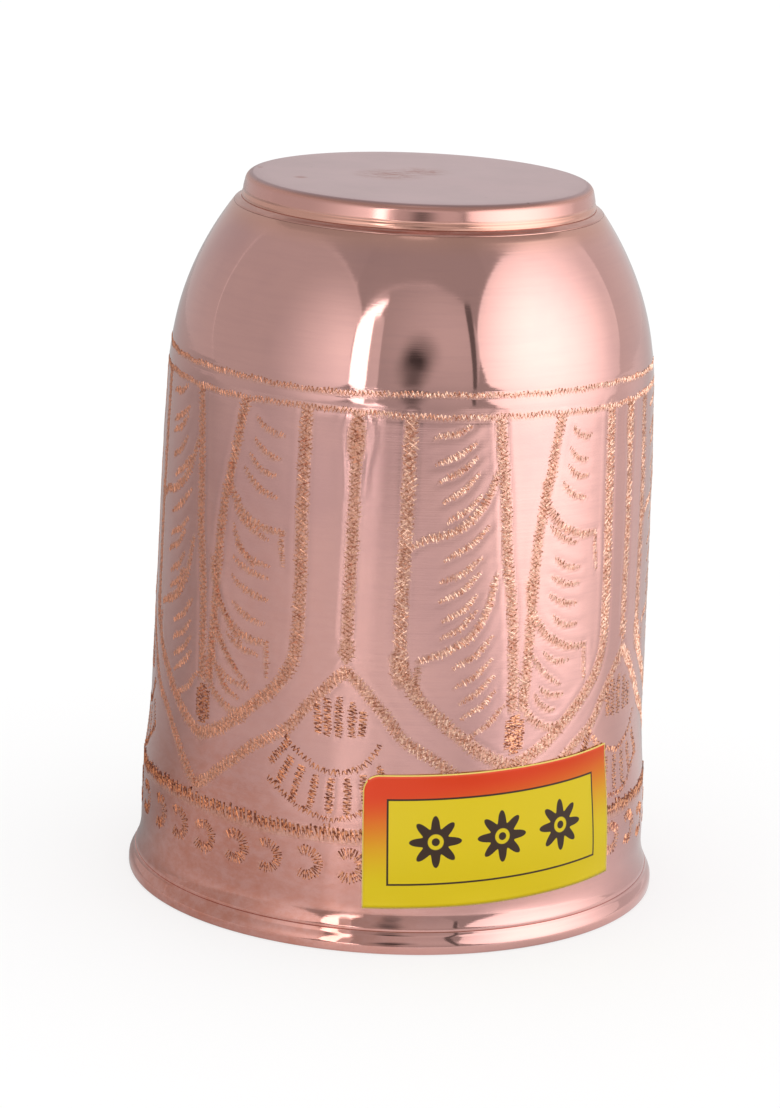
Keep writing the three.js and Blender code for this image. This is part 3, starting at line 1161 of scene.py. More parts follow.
@dataclass
class WallGrid:
    """Grid of the engraved stretch of the wall, with the height of its relief at each point."""

    profile: WallProfile
    columns: int
    heights: np.ndarray
    swells: tuple[tuple[float, float, float, float], ...] = (
        (0.016, 5, 0.11, 0.6),
        (0.011, 9, -0.17, 0.0),
        (0.008, 3, 0.45, 0.0),
    )
    step: float = 0.35
    margin: float = 1.8
    soft_edge: float = 0.4
    relief: np.ndarray = field(init=False)
    cut: np.ndarray = field(init=False)

    def __post_init__(self) -> None:
        """Starts with nothing cut, and with the gentle swells that spinning leaves.

        A swell is its height, how often it comes round, how it winds up the wall and where it starts.
        """
        self.cut = np.zeros((len(self.heights), self.columns))
        angle = np.arange(self.columns) * 2 * math.pi / self.columns
        rows = self.heights[:, None]
        self.relief = sum(
            tall * np.sin(n * angle + wind * rows + start) for tall, n, wind, start in self.swells
        )

    @property
    def middle_radius(self) -> float:
        """Radius that turns angles into lengths on the wall."""
        return self.profile.radius_at(45.0)

    def press(self, line: CutLine) -> None:
        """Adds one line's hollow and its raised rims.

        Args:
            line: The line to press in.
        """
        path = smooth_path(line.points, self.step, self.middle_radius)
        half = line.half_widths(len(path))
        reach = line.width / 2 + self.margin
        cell = 2 * math.pi * self.middle_radius / self.columns
        first = math.floor((path[:, 0].min() - reach) / cell)
        last = math.ceil((path[:, 0].max() + reach) / cell)
        columns = np.arange(first, min(last, first + self.columns - 1) + 1)
        rows = np.nonzero(
            (self.heights > path[:, 1].min() - reach) & (self.heights < path[:, 1].max() + reach)
        )[0]
        across, up = np.meshgrid(columns * cell, self.heights[rows])
        spots = np.stack([across.ravel(), up.ravel()], axis=1)
        nearest, gap = self.closest(path, spots)
        ahead, offset = headings(path)[nearest], spots - path[nearest]
        side = ahead[:, 0] * offset[:, 1] - ahead[:, 1] * offset[:, 0]
        where = (rows[:, None], columns[None, :] % self.columns)
        shape = self.cross_section(line, gap, side, half[nearest])
        np.add.at(self.relief, where, shape.reshape(across.shape))
        if line.ticked:
            torn = line.torn * self.coverage(line, gap, side, half[nearest])
            np.maximum.at(self.cut, where, torn.reshape(across.shape))

    @staticmethod
    def closest(path: np.ndarray, spots: np.ndarray) -> tuple[np.ndarray, np.ndarray]:
        """Returns the nearest path point of each spot, and how far it is.

        Args:
            path: Points of the path.
            spots: Points of the grid.

        Returns:
            Path point numbers and distances.
        """
        nearest = np.zeros(len(spots), int)
        gap = np.full(len(spots), np.inf)
        for start in range(0, len(path), 64):
            block = path[start : start + 64]
            distance = np.linalg.norm(spots[:, None, :] - block[None, :, :], axis=2)
            best = distance.argmin(axis=1)
            value = distance[np.arange(len(spots)), best]
            closer = value < gap
            nearest[closer] = best[closer] + start
            gap[closer] = value[closer]
        return nearest, gap

    def coverage(self, line: CutLine, gap: np.ndarray, side: np.ndarray, half: np.ndarray) -> np.ndarray:
        """Returns how far the graver has torn each spot, from 0 to 1.

        Args:
            line: The line.
            gap: Distance of each spot from the line's middle.
            side: The same distance with a sign, above zero on the upper side.
            half: Half width of the line there.

        Returns:
            Shares from 0 to 1.
        """
        if line.teeth is Teeth.BOTH:
            return np.clip((half - 0.05 - gap) / self.soft_edge, 0, 1)
        beyond = np.maximum(gap - np.abs(side), 0)
        return np.clip((half - np.abs(line.sign * side - half) - beyond) / self.soft_edge, 0, 1)

    @staticmethod
    def cross_section(line: CutLine, gap: np.ndarray, side: np.ndarray, half: np.ndarray) -> np.ndarray:
        """Returns the relief across a line.

        Args:
            line: The line.
            gap: Distance of each spot from the line's middle.
            side: The same distance with a sign, above zero on the upper side.
            half: Half width of the line there.

        Returns:
            Heights in millimetres, below zero in the hollow.
        """
        if not line.ticked:
            return line.rim * bell(gap, line.width / 2)
        if line.teeth is Teeth.BOTH:
            return line.rim * bell(gap - half - 0.55, 0.38) - line.depth * bell(gap, half + 0.15, 4)
        toward = line.sign * side
        swell = bell(toward + 0.8, 0.55) + 0.4 * bell(toward - 2 * half - 0.3, 0.4)
        shape = line.rim * swell - line.depth * bell(toward - 0.2, 0.45)
        return shape * bell(np.maximum(gap - np.abs(side), 0), 0.5)

    def relief_at(self, along: np.ndarray, up: np.ndarray) -> np.ndarray:
        """Returns the relief at places on the wall, between the grid's points.

        Args:
            along: Lengths round the wall from the front.
            up: Heights.

        Returns:
            Relief in millimetres.
        """
        column = (along / (2 * math.pi * self.middle_radius) % 1.0) * self.columns
        row = np.interp(up, self.heights, np.arange(len(self.heights)))
        c0, r0 = np.floor(column).astype(int), np.floor(row).astype(int)
        left, right = c0 % self.columns, (c0 + 1) % self.columns
        fc, fr = column - c0, row - r0
        low, high = (
            self.relief[r, left] * (1 - fc) + self.relief[r, right] * fc
            for r in (r0, np.minimum(r0 + 1, len(self.heights) - 1))
        )
        return low * (1 - fr) + high * fr


@dataclass
class TickTree:
    """Geometry Nodes tree that raises one burr, a slim roof, at each point of a mesh."""

    name: str = "graver_ticks"
    seed_step: int = 101

    def build(self) -> bpy.types.NodeTree:
        """Makes the tree."""
        tree = bpy.data.node_groups.new(self.name, "GeometryNodeTree")
        kinds = {"Geometry": "Geometry", "Width": "Float", "Height": "Float", "Jitter": "Float", "Seed": "Int"}
        for name, kind in {**kinds, "Finish": "Material"}.items():
            tree.interface.new_socket(name, in_out="INPUT", socket_type="NodeSocket" + kind)
        tree.interface.new_socket("Geometry", in_out="OUTPUT", socket_type="NodeSocketGeometry")
        sketch = NodeSketch(tree)
        given = sketch.add("NodeGroupInput").outputs
        spots = {
            "Points": given["Geometry"],
            "Instance": self.burr(sketch),
            "Rotation": self.turned(sketch, given),
            "Scale": self.size(sketch, given),
        }
        spread = sketch.add("GeometryNodeInstanceOnPoints", spots)
        real = sketch.add("GeometryNodeRealizeInstances", {0: spread.outputs[0]})
        dressed = sketch.add(
            "GeometryNodeSetMaterial", {"Geometry": real.outputs[0], "Material": given["Finish"]}
        )
        sketch.add("NodeGroupOutput", {0: dressed.outputs[0]})
        return tree

    def burr(self, sketch: NodeSketch) -> Socket:
        """Returns one burr, a bar of three sides, a metre long and wide.

        Args:
            sketch: The tree's nodes.

        Returns:
            Its geometry.
        """
        size = {"Vertices": 3, "Radius": 1 / math.sqrt(3), "Depth": 1.0}
        bar = sketch.add("GeometryNodeMeshCylinder", size, fill_type="NGON").outputs["Mesh"]
        laid = sketch.add("GeometryNodeTransform", {"Geometry": bar, "Rotation": (0, -math.pi / 2, 0)})
        return laid.outputs["Geometry"]

    def turned(self, sketch: NodeSketch, given: Sequence[Socket]) -> Socket:
        """Returns each burr's turn: out from the wall, across its line, with the hand's unevenness.

        Args:
            sketch: The tree's nodes.
            given: The tree's inputs.

        Returns:
            The rotation.
        """
        place = sketch.add("GeometryNodeInputPosition").outputs[0]
        out = sketch.add("ShaderNodeVectorMath", {0: place, 1: (1, 1, 0)}, operation="MULTIPLY").outputs[0]
        ways = {0: out, 1: self.attribute(sketch, "across", "FLOAT_VECTOR")}
        facing = sketch.add(
            "FunctionNodeAxesToRotation", ways, primary_axis="Z", secondary_axis="X"
        ).outputs[0]
        angle = sketch.times(self.random(sketch, given, -1.0, 1.0, 0), given["Jitter"])
        twist = sketch.add("ShaderNodeCombineXYZ", {2: angle}).outputs[0]
        local = sketch.add("FunctionNodeEulerToRotation", {0: twist}).outputs[0]
        return sketch.add(
            "FunctionNodeRotateRotation", {0: facing, 1: local}, rotation_space="LOCAL"
        ).outputs[0]

    def size(self, sketch: NodeSketch, given: Sequence[Socket]) -> Socket:
        """Returns each burr's length, width and height.

        Args:
            sketch: The tree's nodes.
            given: The tree's inputs.

        Returns:
            The three, as a scale.
        """
        long = sketch.times(
            self.attribute(sketch, "length", "FLOAT"), self.random(sketch, given, 0.75, 1.15, 1)
        )
        wide = sketch.times(given["Width"], self.random(sketch, given, 0.7, 1.25, 2))
        high = sketch.times(given["Height"], self.random(sketch, given, 0.6, 1.3, 3))
        return sketch.add("ShaderNodeCombineXYZ", {0: long, 1: wide, 2: high}).outputs[0]

    def attribute(self, sketch: NodeSketch, name: str, kind: str) -> Socket:
        """Returns a named attribute's socket."""
        return sketch.add(
            "GeometryNodeInputNamedAttribute", {"Name": name}, data_type=kind
        ).outputs["Attribute"]

    def random(
        self, sketch: NodeSketch, given: Sequence[Socket], low: float, high: float, stream: int
    ) -> Socket:
        """Returns a random number for each point.

        Args:
            sketch: The tree's nodes.
            given: The tree's inputs.
            low: The smallest number.
            high: The largest number.
            stream: Number of a stream of its own.

        Returns:
            The number's socket.
        """
        seed = sketch.plus(given["Seed"], stream * self.seed_step)
        return sketch.add(
            "FunctionNodeRandomValue", {2: low, 3: high, "Seed": seed}, data_type="FLOAT"
        ).outputs[1]


@dataclass
class TickPiece:
    """The ticks of some of the lines, made as one piece."""

    name: str
    lines: list[CutLine]
    grid: WallGrid
    tick_width: float = 0.23
    jitter: float = 0.2
    tick_height: float = 0.1
    spread: float = 0.8
    overlap: float = 1.3

    def build(self, tree: bpy.types.NodeTree, finish: bpy.types.Material, seed: int) -> bpy.types.Object:
        """Makes the piece.

        Args:
            tree: The tree that raises the ticks.
            finish: Their material.
            seed: Seed of the hand's unevenness.

        Returns:
            The piece, a plain mesh.
        """
        hand = np.random.default_rng(seed)
        parts = [self.points(line, hand) for line in self.lines if line.ticked]
        places, across, lengths = (np.concatenate(part) for part in zip(*parts))
        holder = new_object(self.name + "_points", places * MM, [])
        holder.data.attributes.new(
            "across", "FLOAT_VECTOR", "POINT"
        ).data.foreach_set("vector", across.ravel())
        holder.data.attributes.new("length", "FLOAT", "POINT").data.foreach_set("value", lengths * MM)
        modifier = holder.modifiers.new("ticks", "NODES")
        modifier.node_group = tree
        values = {
            "Width": self.tick_width * MM,
            "Height": self.tick_height * MM,
            "Jitter": self.jitter,
            "Seed": seed,
            "Finish": finish,
        }
        for item in tree.interface.items_tree:
            if item.in_out == "INPUT" and item.name in values:
                modifier[item.identifier] = values[item.name]
        made = bpy.data.objects.new(self.name, self.plain_mesh(holder))
        bpy.context.scene.collection.objects.link(made)
        bpy.data.objects.remove(holder)
        return made

    def plain_mesh(self, holder: bpy.types.Object) -> bpy.types.Mesh:
        """Returns the evaluated mesh of an object, flat-shaded and with no attributes of the tree left.

        Args:
            holder: The object that carries the modifier.

        Returns:
            The mesh.
        """
        shown = holder.evaluated_get(bpy.context.evaluated_depsgraph_get())
        mesh = bpy.data.meshes.new_from_object(shown)
        mesh.name = self.name
        mesh.polygons.foreach_set("use_smooth", [False] * len(mesh.polygons))
        for name in ("across", "length"):
            if name in mesh.attributes:
                mesh.attributes.remove(mesh.attributes[name])
        return mesh

    def points(self, line: CutLine, hand: np.random.Generator) -> tuple[np.ndarray, np.ndarray, np.ndarray]:
        """Returns the ticks of a line: places, directions across and lengths.

        Args:
            line: The line.
            hand: Source of unevenness.

        Returns:
            Places in millimetres, unit directions and lengths in millimetres.
        """
        radius = self.grid.middle_radius
        path = smooth_path(line.points, line.pitch, radius)
        count = len(path)
        half = line.half_widths(count)
        ahead = headings(path)
        over = np.stack([-ahead[:, 1], ahead[:, 0]], axis=1)
        spots, ways, lengths = [], [], []
        for lane in range(line.lanes):
            share = (lane + 0.5) / line.lanes * 2 - 1
            if line.teeth is Teeth.BOTH:
                shift = self.spread * share * half
                length = 2 * half / line.lanes * (1 if line.lanes == 1 else self.overlap)
            else:
                shift = half * line.sign
                length = 2 * half
            along = line.uneven * hand.uniform(-0.3, 0.3, count) * line.pitch + lane * line.pitch / line.lanes
            run = np.arange(count) * line.pitch
            sway = line.uneven * (
                0.09 * np.sin(1.1 * run + hand.uniform(0, 6)) + hand.uniform(-0.1, 0.1, count)
            )
            spots.append(path + over * (shift + sway)[:, None] + ahead * along[:, None])
            lean = np.radians(line.lean + line.slant * np.where((np.arange(count) + lane) % 2, 1, -1))
            ways.append(over * np.cos(lean)[:, None] + ahead * np.sin(lean)[:, None])
            lengths.append(length * (1 + line.uneven * hand.uniform(-0.25, 0.2, count)))
        flat, way = np.vstack(spots), np.vstack(ways)
        angle = flat[:, 0] / radius
        base = np.array([self.grid.profile.radius_at(z) for z in flat[:, 1]])
        out = base + self.grid.relief_at(flat[:, 0], flat[:, 1])
        places = np.stack([out * np.sin(angle), -out * np.cos(angle), flat[:, 1]], axis=1)
        across = np.stack([way[:, 0] * np.cos(angle), way[:, 0] * np.sin(angle), way[:, 1]], axis=1)
        return places, across, np.concatenate(lengths)


@dataclass
class EngravedBody:
    """The spun body: engraved wall, shoulder, neck and inside."""

    profile: WallProfile
    copper: bpy.types.Material
    cut: bpy.types.Material
    dark_cut: bpy.types.Material
    columns: int = 540
    panel_angles: tuple[float, ...] = (-50.0, 27.0, 98.0, 169.5, 240.0)
    front_panel: int = 1
    first_row: float = 8.6
    last_row: float = 78.0
    row_step: float = 0.52
    relief_limit: float = 0.16
    darkened: tuple[str, ...] = ("fan_cuts", "circle_cuts")
    dark_width: float = 0.27
    dark_jitter: float = 0.09

    def build(self) -> list[bpy.types.Object]:
        """Makes the body and its ticks.

        Returns:
            The pieces, finished.
        """
        rows = int(round((self.last_row - self.first_row) / self.row_step)) + 1
        grid = WallGrid(self.profile, self.columns, np.linspace(self.first_row, self.last_row, rows))
        groups = self.line_groups()
        for lines in groups.values():
            for line in lines:
                grid.press(line)
        relief = np.clip(grid.relief, -self.relief_limit, self.relief_limit)
        grid.relief = relief * self.fade(grid.heights)[:, None]
        rings = self.rings(grid)
        body = turned_mesh("engraved_body", rings, closed=True)
        self.mark_cuts(body, rings, grid)
        pieces = [settle(body, "engraved_copper", "body_shell", self.copper)]
        tree = TickTree().build()
        for seed, (name, lines) in enumerate(groups.items(), HAND_SEED):
            piece, finish = TickPiece(name, lines, grid), self.cut
            if name in self.darkened:
                piece, finish = (
                    replace(piece, tick_width=self.dark_width, jitter=self.dark_jitter), self.dark_cut
                )
            pieces.append(settle(piece.build(tree, finish, seed), "engraved_copper"))
        return pieces

    def mark_cuts(self, body: bpy.types.Object, rings: Sequence[Ring], grid: WallGrid) -> None:
        """Writes where the graver has cut to the attribute that the copper reads.

        Args:
            body: The body.
            rings: Its rings, in the order of its vertices.
            grid: The grid whose rows are some of the rings.
        """
        first = len(self.lip_rings()) + len(self.flare_rings())
        before = sum(len(r) for r in rings[:first])
        values = np.zeros(sum(len(r) for r in rings))
        values[before : before + grid.cut.size] = grid.cut.ravel()
        body.data.attributes.new("cut", "FLOAT", "POINT").data.foreach_set("value", values)

    def fade(self, heights: np.ndarray) -> np.ndarray:
        """Returns how much of the relief stays at each height, so that it dies out at the grid's ends."""
        return np.clip(np.minimum(heights - self.first_row, self.last_row - heights), 0, 1)

    def line_groups(self) -> dict[str, list[CutLine]]:
        """Returns the lines of each tick piece, by the piece's name."""
        panels, pillars, fans = [], [], []
        for i, centre in enumerate(self.panel_angles):
            wobble, comb = (0.0, 1.0) if i == self.front_panel else (0.5, 1.3)
            panel = PanelCuts(centre, HAND_SEED + i, wobble, comb)
            panels += panel.lines()
            fans += panel.bulb()
        following = (*self.panel_angles[1:], self.panel_angles[0] + 360)
        for left, right in zip(self.panel_angles, following):
            between = PillarCuts((left + right) / 2, (right - left) / 2)
            pillars += between.lines()
            fans += between.fan()
        girdle = GirdleCuts()
        return {
            "panel_cuts": [line for line in panels if line.teeth is Teeth.BOTH],
            "leaf_cuts": [line for line in panels if line.teeth is not Teeth.BOTH],
            "pillar_cuts": pillars,
            "fan_cuts": [*fans, girdle.zigzag()],
            "ring_cuts": girdle.rings(),
            "circle_cuts": girdle.circle_row(),
        }

    def rings(self, grid: WallGrid) -> list[Ring]:
        """Returns the rings of the whole sheet, from its edge up the outside and down the inside.

        Args:
            grid: The engraved stretch.

        Returns:
            The rings, in order.
        """
        shape = self.profile
        fine, half, coarse = self.columns, self.columns // 2, self.columns // 4
        rings = [*self.lip_rings(), *self.flare_rings()]
        rings += [ring(shape.radius_at(z) + relief, z, fine) for z, relief in zip(grid.heights, grid.relief)]
        neck = shape.neck()
        outline = [*shape.shoulder(self.last_row, 20)[1:], *neck[:-2]]
        rings += [ring(r, z, fine) for r, z in outline]
        rings += [ring(*neck[-2], half), ring(*neck[-1], coarse)]
        return [*rings, *(ring(r, z, coarse) for r, z in self.inside())]

    def lip_rings(self) -> list[Ring]:
        """Returns the rings that the lip band hides, up to the step that the band's edge lies in."""
        shape = self.profile
        return [
            ring(*shape.edge, self.columns // 4),
            ring(shape.lip_radius_at(1.2), 1.2, self.columns // 2),
            ring(shape.lip_radius_at(1.9), 1.9, self.columns),
            ring(shape.lip_radius_at(shape.band_height), shape.band_height, self.columns),
        ]

    def flare_rings(self) -> list[Ring]:
        """Returns the rings of the flare, from the step's soft corner up to the engraved stretch."""
        shape = self.profile
        step = shape.lip_radius_at(shape.band_height) + shape.joggle_step
        foot = [(step - 0.25, shape.flare_foot - 0.09), (step - 0.08, shape.flare_foot - 0.07)]
        heights = [*np.linspace(shape.flare_foot + 0.1, shape.flare_height, 9)]
        heights += [*np.linspace(shape.flare_height, self.first_row, 4)[1:-1]]
        outline = [*foot, *((shape.radius_at(z), z) for z in heights)]
        return [ring(r, z, self.columns) for r, z in outline]

    def inside(self) -> list[Point]:
        """Returns the inner outline of the sheet, from the neck down to the raw edge."""
        shape = self.profile
        heights = [shape.edge[1], shape.band_height, *np.linspace(shape.flare_foot, shape.flare_height, 4)]
        heights += [*np.linspace(shape.belly_height, shape.waist_height, 6), 41.0, 55.0]
        outline = [(shape.radius_at(z), z) for z in heights]
        outline += [*shape.shoulder(shape.shoulder_height, 12), *shape.neck()]
        inner = inset(outline, shape.sheet)
        inner[0] = (shape.edge[0] - shape.leaned_sheet, shape.edge[1])
        return inner[::-1]


@dataclass
class LipBand:
    """The strip folded over the sheet's edge, convex outside."""

    profile: WallProfile
    finish: bpy.types.Material
    columns: int = 288
    crown_height: float = 1.0
    edge: float = 0.35

    def build(self) -> bpy.types.Object:
        """Makes the band."""
        rings = [ring(r, z, self.columns) for r, z in self.outline()]
        return settle(turned_mesh("lip_band", rings, closed=True), "lip_copper", "mouth_band", self.finish)

    def outline(self) -> list[Point]:
        """Returns the folded section, with the crown's outside last."""
        shape = self.profile
        foot_radius = shape.edge[0]
        outer_top = shape.lip_radius_at(shape.band_height) + shape.seam
        inner_top = shape.lip_radius_at(shape.band_height) - shape.leaned_sheet - shape.seam
        outer_foot = foot_radius + shape.seam
        inner_foot = foot_radius - shape.leaned_sheet - shape.seam
        inner_face = inner_foot - shape.band_sheet
        crown = self.crown(outer_top + shape.band_sheet)
        return [
            (outer_top, shape.band_height - 0.08),
            (outer_top + 0.05, 1.6),
            (outer_foot, shape.band_sheet + 0.08),
            (outer_foot - 0.08, shape.band_sheet),
            (inner_foot + 0.08, shape.band_sheet),
            (inner_foot, shape.band_sheet + 0.08),
            (inner_top, shape.band_height - 0.1),
            *arc((inner_top - 0.22, shape.band_height - 0.12), 0.12, 60, 120, 2),
            (inner_top - shape.band_sheet, shape.band_height - 0.2),
            (inner_face, 1.2),
            *arc((inner_face + self.edge, self.edge), self.edge, -180, -90, 5),
            *arc((shape.lip_radius - self.edge, self.edge), self.edge, -90, 0, 6),
            *crown,
        ]

    def crown(self, top_radius: float) -> list[Point]:
        """Returns the convex outside, from its widest point up and over its top edge.

        Args:
            top_radius: Outside radius at the top edge.

        Returns:
            The points, each a radius and a height.
        """
        shape = self.profile
        top = shape.band_height
        points = [(shape.lip_radius, self.crown_height * 0.7)]
        for t in np.linspace(0, 1, 7):
            fall = (shape.lip_radius - top_radius) * (0.6 * t**2 + 0.4 * t**2 * (3 - 2 * t))
            points.append((shape.lip_radius - fall, self.crown_height + (top - 0.1 - self.crown_height) * t))
        points += [
            (top_radius - 0.01, top + 0.13), (top_radius - 0.05, top + 0.2),
            (top_radius - 0.12, top + 0.23),
        ]
        points += [(top_radius - 0.3, top + 0.23), (top_radius - 0.48, top + 0.15)]
        return points


@dataclass
class Foot:
    """The foot disc: face, rounded rim, a turned groove and the skirt over the neck."""

    profile: WallProfile
    finish: bpy.types.Material
    columns: int = 288
    rim: float = 1.2
    taper: float = 0.4
    straight: float = 0.7
    groove_height: float = 97.55
    groove_depth: float = 0.09
    groove_width: float = 0.2
    slope: float = 12.0
    sag: float = 0.03

    def build(self) -> bpy.types.Object:
        """Makes the disc."""
        rings = [self.level(r, z) for r, z in self.outline()]
        return settle(turned_mesh("foot_disc", rings, closed=False), "foot_copper", "base_cap", self.finish)

    def level(self, radius: float, height: float) -> Ring:
        """Returns one ring of the disc, or its pole; the face keeps the unevenness of thin sheet.

        Args:
            radius: Radius of the ring, or 0.
            height: Its height.

        Returns:
            The ring.
        """
        if radius == 0:
            return pole(height)
        made = ring(radius, height, self.columns)
        flat = self.profile.foot_radius - self.taper - self.rim
        if height > self.profile.height - 0.01 and radius < flat - 0.3:
            angle = np.arctan2(made[:, 0], -made[:, 1])
            ease = math.sin(math.pi * radius / flat)
            made[:, 2] -= self.sag * ease * (1 + 0.6 * np.sin(2 * angle + 0.7) + 0.4 * np.sin(3 * angle))
        return made

    def outline(self) -> list[Point]:
        """Returns the disc's section from the axis under the face, round the skirt, to the axis on top."""
        shape = self.profile
        under = shape.height - shape.cap_sheet
        inside = shape.foot_radius - shape.cap_sheet
        low = shape.height - shape.foot_height
        rim = (shape.foot_radius - self.taper - self.rim, shape.height - self.rim)
        start = arc(rim, self.rim, self.slope, self.slope, 0)[0]
        band = []
        for z in np.linspace(low + 0.15, start[1], 30)[:-1]:
            dip = self.groove_depth * bell(z - self.groove_height, self.groove_width)
            narrowing = np.interp(z, (low + self.straight, start[1]), (0, shape.foot_radius - start[0]))
            band.append((shape.foot_radius - narrowing - dip, float(z)))
        face = [(float(r), shape.height) for r in np.linspace(rim[0], 0, 13)[1:]]
        return [
            *((float(r), under) for r in np.linspace(0, inside - 0.1, 5)),
            (inside, under - 0.1),
            (inside, low + shape.neck_bend),
            (inside + shape.neck_bend, low),
            (shape.foot_radius - 0.1, low),
            *band,
            *arc(rim, self.rim, self.slope, 90, 9),
            *face,
        ]


@dataclass
class BrazeFillet:
    """The hollow ring of brazing metal between the foot's skirt and the shoulder."""

    profile: WallProfile
    finish: bpy.types.Material
    columns: int = 288
    rise: float = 0.45
    hollow: float = 0.06
    feather: float = 0.05

    def build(self) -> bpy.types.Object:
        """Makes the fillet, whose face is a little uneven as the metal ran."""
        shape = self.profile
        skirt = shape.foot_radius + 0.02
        end = (shape.shoulder_end[0], shape.shoulder_end[1] + shape.seam)
        top = (skirt, shape.seat_height + self.rise)
        seat = shape.seat_height + shape.seam
        back = [top, (skirt, seat), (shape.foot_radius + shape.seat_margin, seat)]
        angle = np.arange(self.columns) * 2 * math.pi / self.columns
        low = end[1] - self.feather
        feather = (shape.radius_at(low) - 0.01, low)
        rings = [ring(r, z, self.columns) for r, z in (*back, (end[0] - 0.05, end[1] - 0.02), feather)]
        rings.append(ring(feather[0] + 0.014, feather[1] + 0.01, self.columns))
        for t in np.linspace(0, 1, 7)[1:-1]:
            sag = self.hollow * math.sin(math.pi * t)
            run = 0.02 * math.sin(math.pi * t) * (np.sin(11 * angle) + np.sin(17 * angle + 1.0))
            radius = end[0] + 0.02 + (top[0] - end[0] - 0.02) * t - sag / 2 + run
            height = end[1] + 0.02 + (top[1] - end[1] - 0.02) * t - sag / 2
            rings.append(ring(radius, height, self.columns))
        return settle(
            turned_mesh("braze_fillet", rings, closed=True), "brazing_metal", "base_braze", self.finish
        )


@dataclass
class Sticker:
    """The paper sticker, wrapped on the wall, with one rounded corner and lifted edges."""

    profile: WallProfile
    paper: float = 0.15
    width: float = 38.5
    height: float = 18.5
    angle: float = 24.9
    middle: float = 15.95
    tilt: float = 2.1
    corner: float = 2.2
    columns: int = 72
    rows: int = 36
    lift: float = 0.10
    lifted_edge: float = 1.2

    def build(self) -> bpy.types.Object:
        """Makes the sticker, with a UV map named print that runs from corner to corner."""
        grid_u, grid_v = np.meshgrid(np.linspace(0, 1, self.columns + 1), np.linspace(0, 1, self.rows + 1))
        front = self.wrap(grid_u, grid_v, self.profile.seam + self.paper)
        back = self.wrap(grid_u, grid_v, self.profile.seam)
        piece = new_object("sticker", np.vstack([front, back]) * MM, self.faces(len(front)))
        map_uv(piece, "print", np.tile(np.stack([grid_u.ravel(), grid_v.ravel()], axis=1), (2, 1)))
        return settle(piece, "printed_paper", "paper_label", PrintedPaper(self.width, self.height).build())

    def wrap(self, u: np.ndarray, v: np.ndarray, off: float) -> np.ndarray:
        """Returns places on the wall for places on the flat sticker.

        Args:
            u: Shares of the width, from the left.
            v: Shares of the height, from the bottom.
            off: Distance from the wall.

        Returns:
            Points in millimetres.
        """
        x = (u - 0.5) * self.width
        y = (v - 0.5) * self.height
        x, y = self.round_corner(x, y)
        tilt = math.radians(self.tilt)
        flat_x = x * math.cos(tilt) - y * math.sin(tilt)
        height = self.middle + x * math.sin(tilt) + y * math.cos(tilt)
        angle = math.radians(self.angle) + flat_x / self.profile.radius_at(self.middle)
        edge = np.minimum(self.width / 2 - np.abs(x), self.height / 2 - np.abs(y))
        raised = self.lift * bell(edge, self.lifted_edge) * (0.5 + 0.5 * np.sin(x * 0.35 + y * 0.4))
        radius = np.vectorize(self.profile.radius_at)(height) + off + raised
        return np.stack([radius * np.sin(angle), -radius * np.cos(angle), height], axis=-1).reshape(-1, 3)

    def round_corner(self, x: np.ndarray, y: np.ndarray) -> tuple[np.ndarray, np.ndarray]:
        """Returns the flat places with the upper left corner drawn in to an arc.

        Args:
            x: Millimetres from the sticker's middle.
            y: The same upwards.

        Returns:
            Both again, moved.
        """
        cx, cy = -self.width / 2 + self.corner, self.height / 2 - self.corner
        scale = corner_share(cx - x, y - cy)
        return cx - (cx - x) * scale, cy + (y - cy) * scale

    def faces(self, count: int) -> Faces:
        """Returns the faces of the front, the back and the four cut edges.

        Args:
            count: How many vertices the front has.

        Returns:
            The faces.
        """
        wide = self.columns + 1
        made: Faces = []
        for a, b, c, d in sheet_faces(self.columns, self.rows):
            made += [(a, d, c, b), (a + count, b + count, c + count, d + count)]
        rim = list(range(self.columns))
        rim += [self.columns + j * wide for j in range(self.rows)]
        rim += [self.rows * wide + i for i in range(self.columns, 0, -1)]
        rim += [j * wide for j in range(self.rows, 0, -1)]
        for a, b in zip(rim, rim[1:] + rim[:1]):
            made.append((a + count, b + count, b, a))
        return made


@dataclass
class Screen:
    """A curved wall of the light tent, by its azimuth from the front and its elevation, in degrees."""

    name: str
    azimuth: float
    span: float
    low: float
    high: float
    distance: float
    strength: float
    columns: int = 32
    rows: int = 8
    eye_height: float = 0.05

    def build(self) -> None:
        """Makes the wall, which shines evenly into the metal."""
        angles = np.radians(self.azimuth + np.linspace(-0.5, 0.5, self.columns + 1) * self.span)
        rises = np.linspace(math.tan(math.radians(self.low)), math.tan(math.radians(self.high)), self.rows + 1)
        angle, rise = np.meshgrid(angles, rises)
        points = np.stack([np.sin(angle), -np.cos(angle), rise], axis=-1).reshape(-1, 3) * self.distance
        screen = new_object(self.name, points + (0, 0, self.eye_height), sheet_faces(self.columns, self.rows))
        sketch = ShaderSketch(self.name)
        screen.data.materials.append(sketch.output(sketch.glow(self.strength)))
        show_to_metal_only(screen)


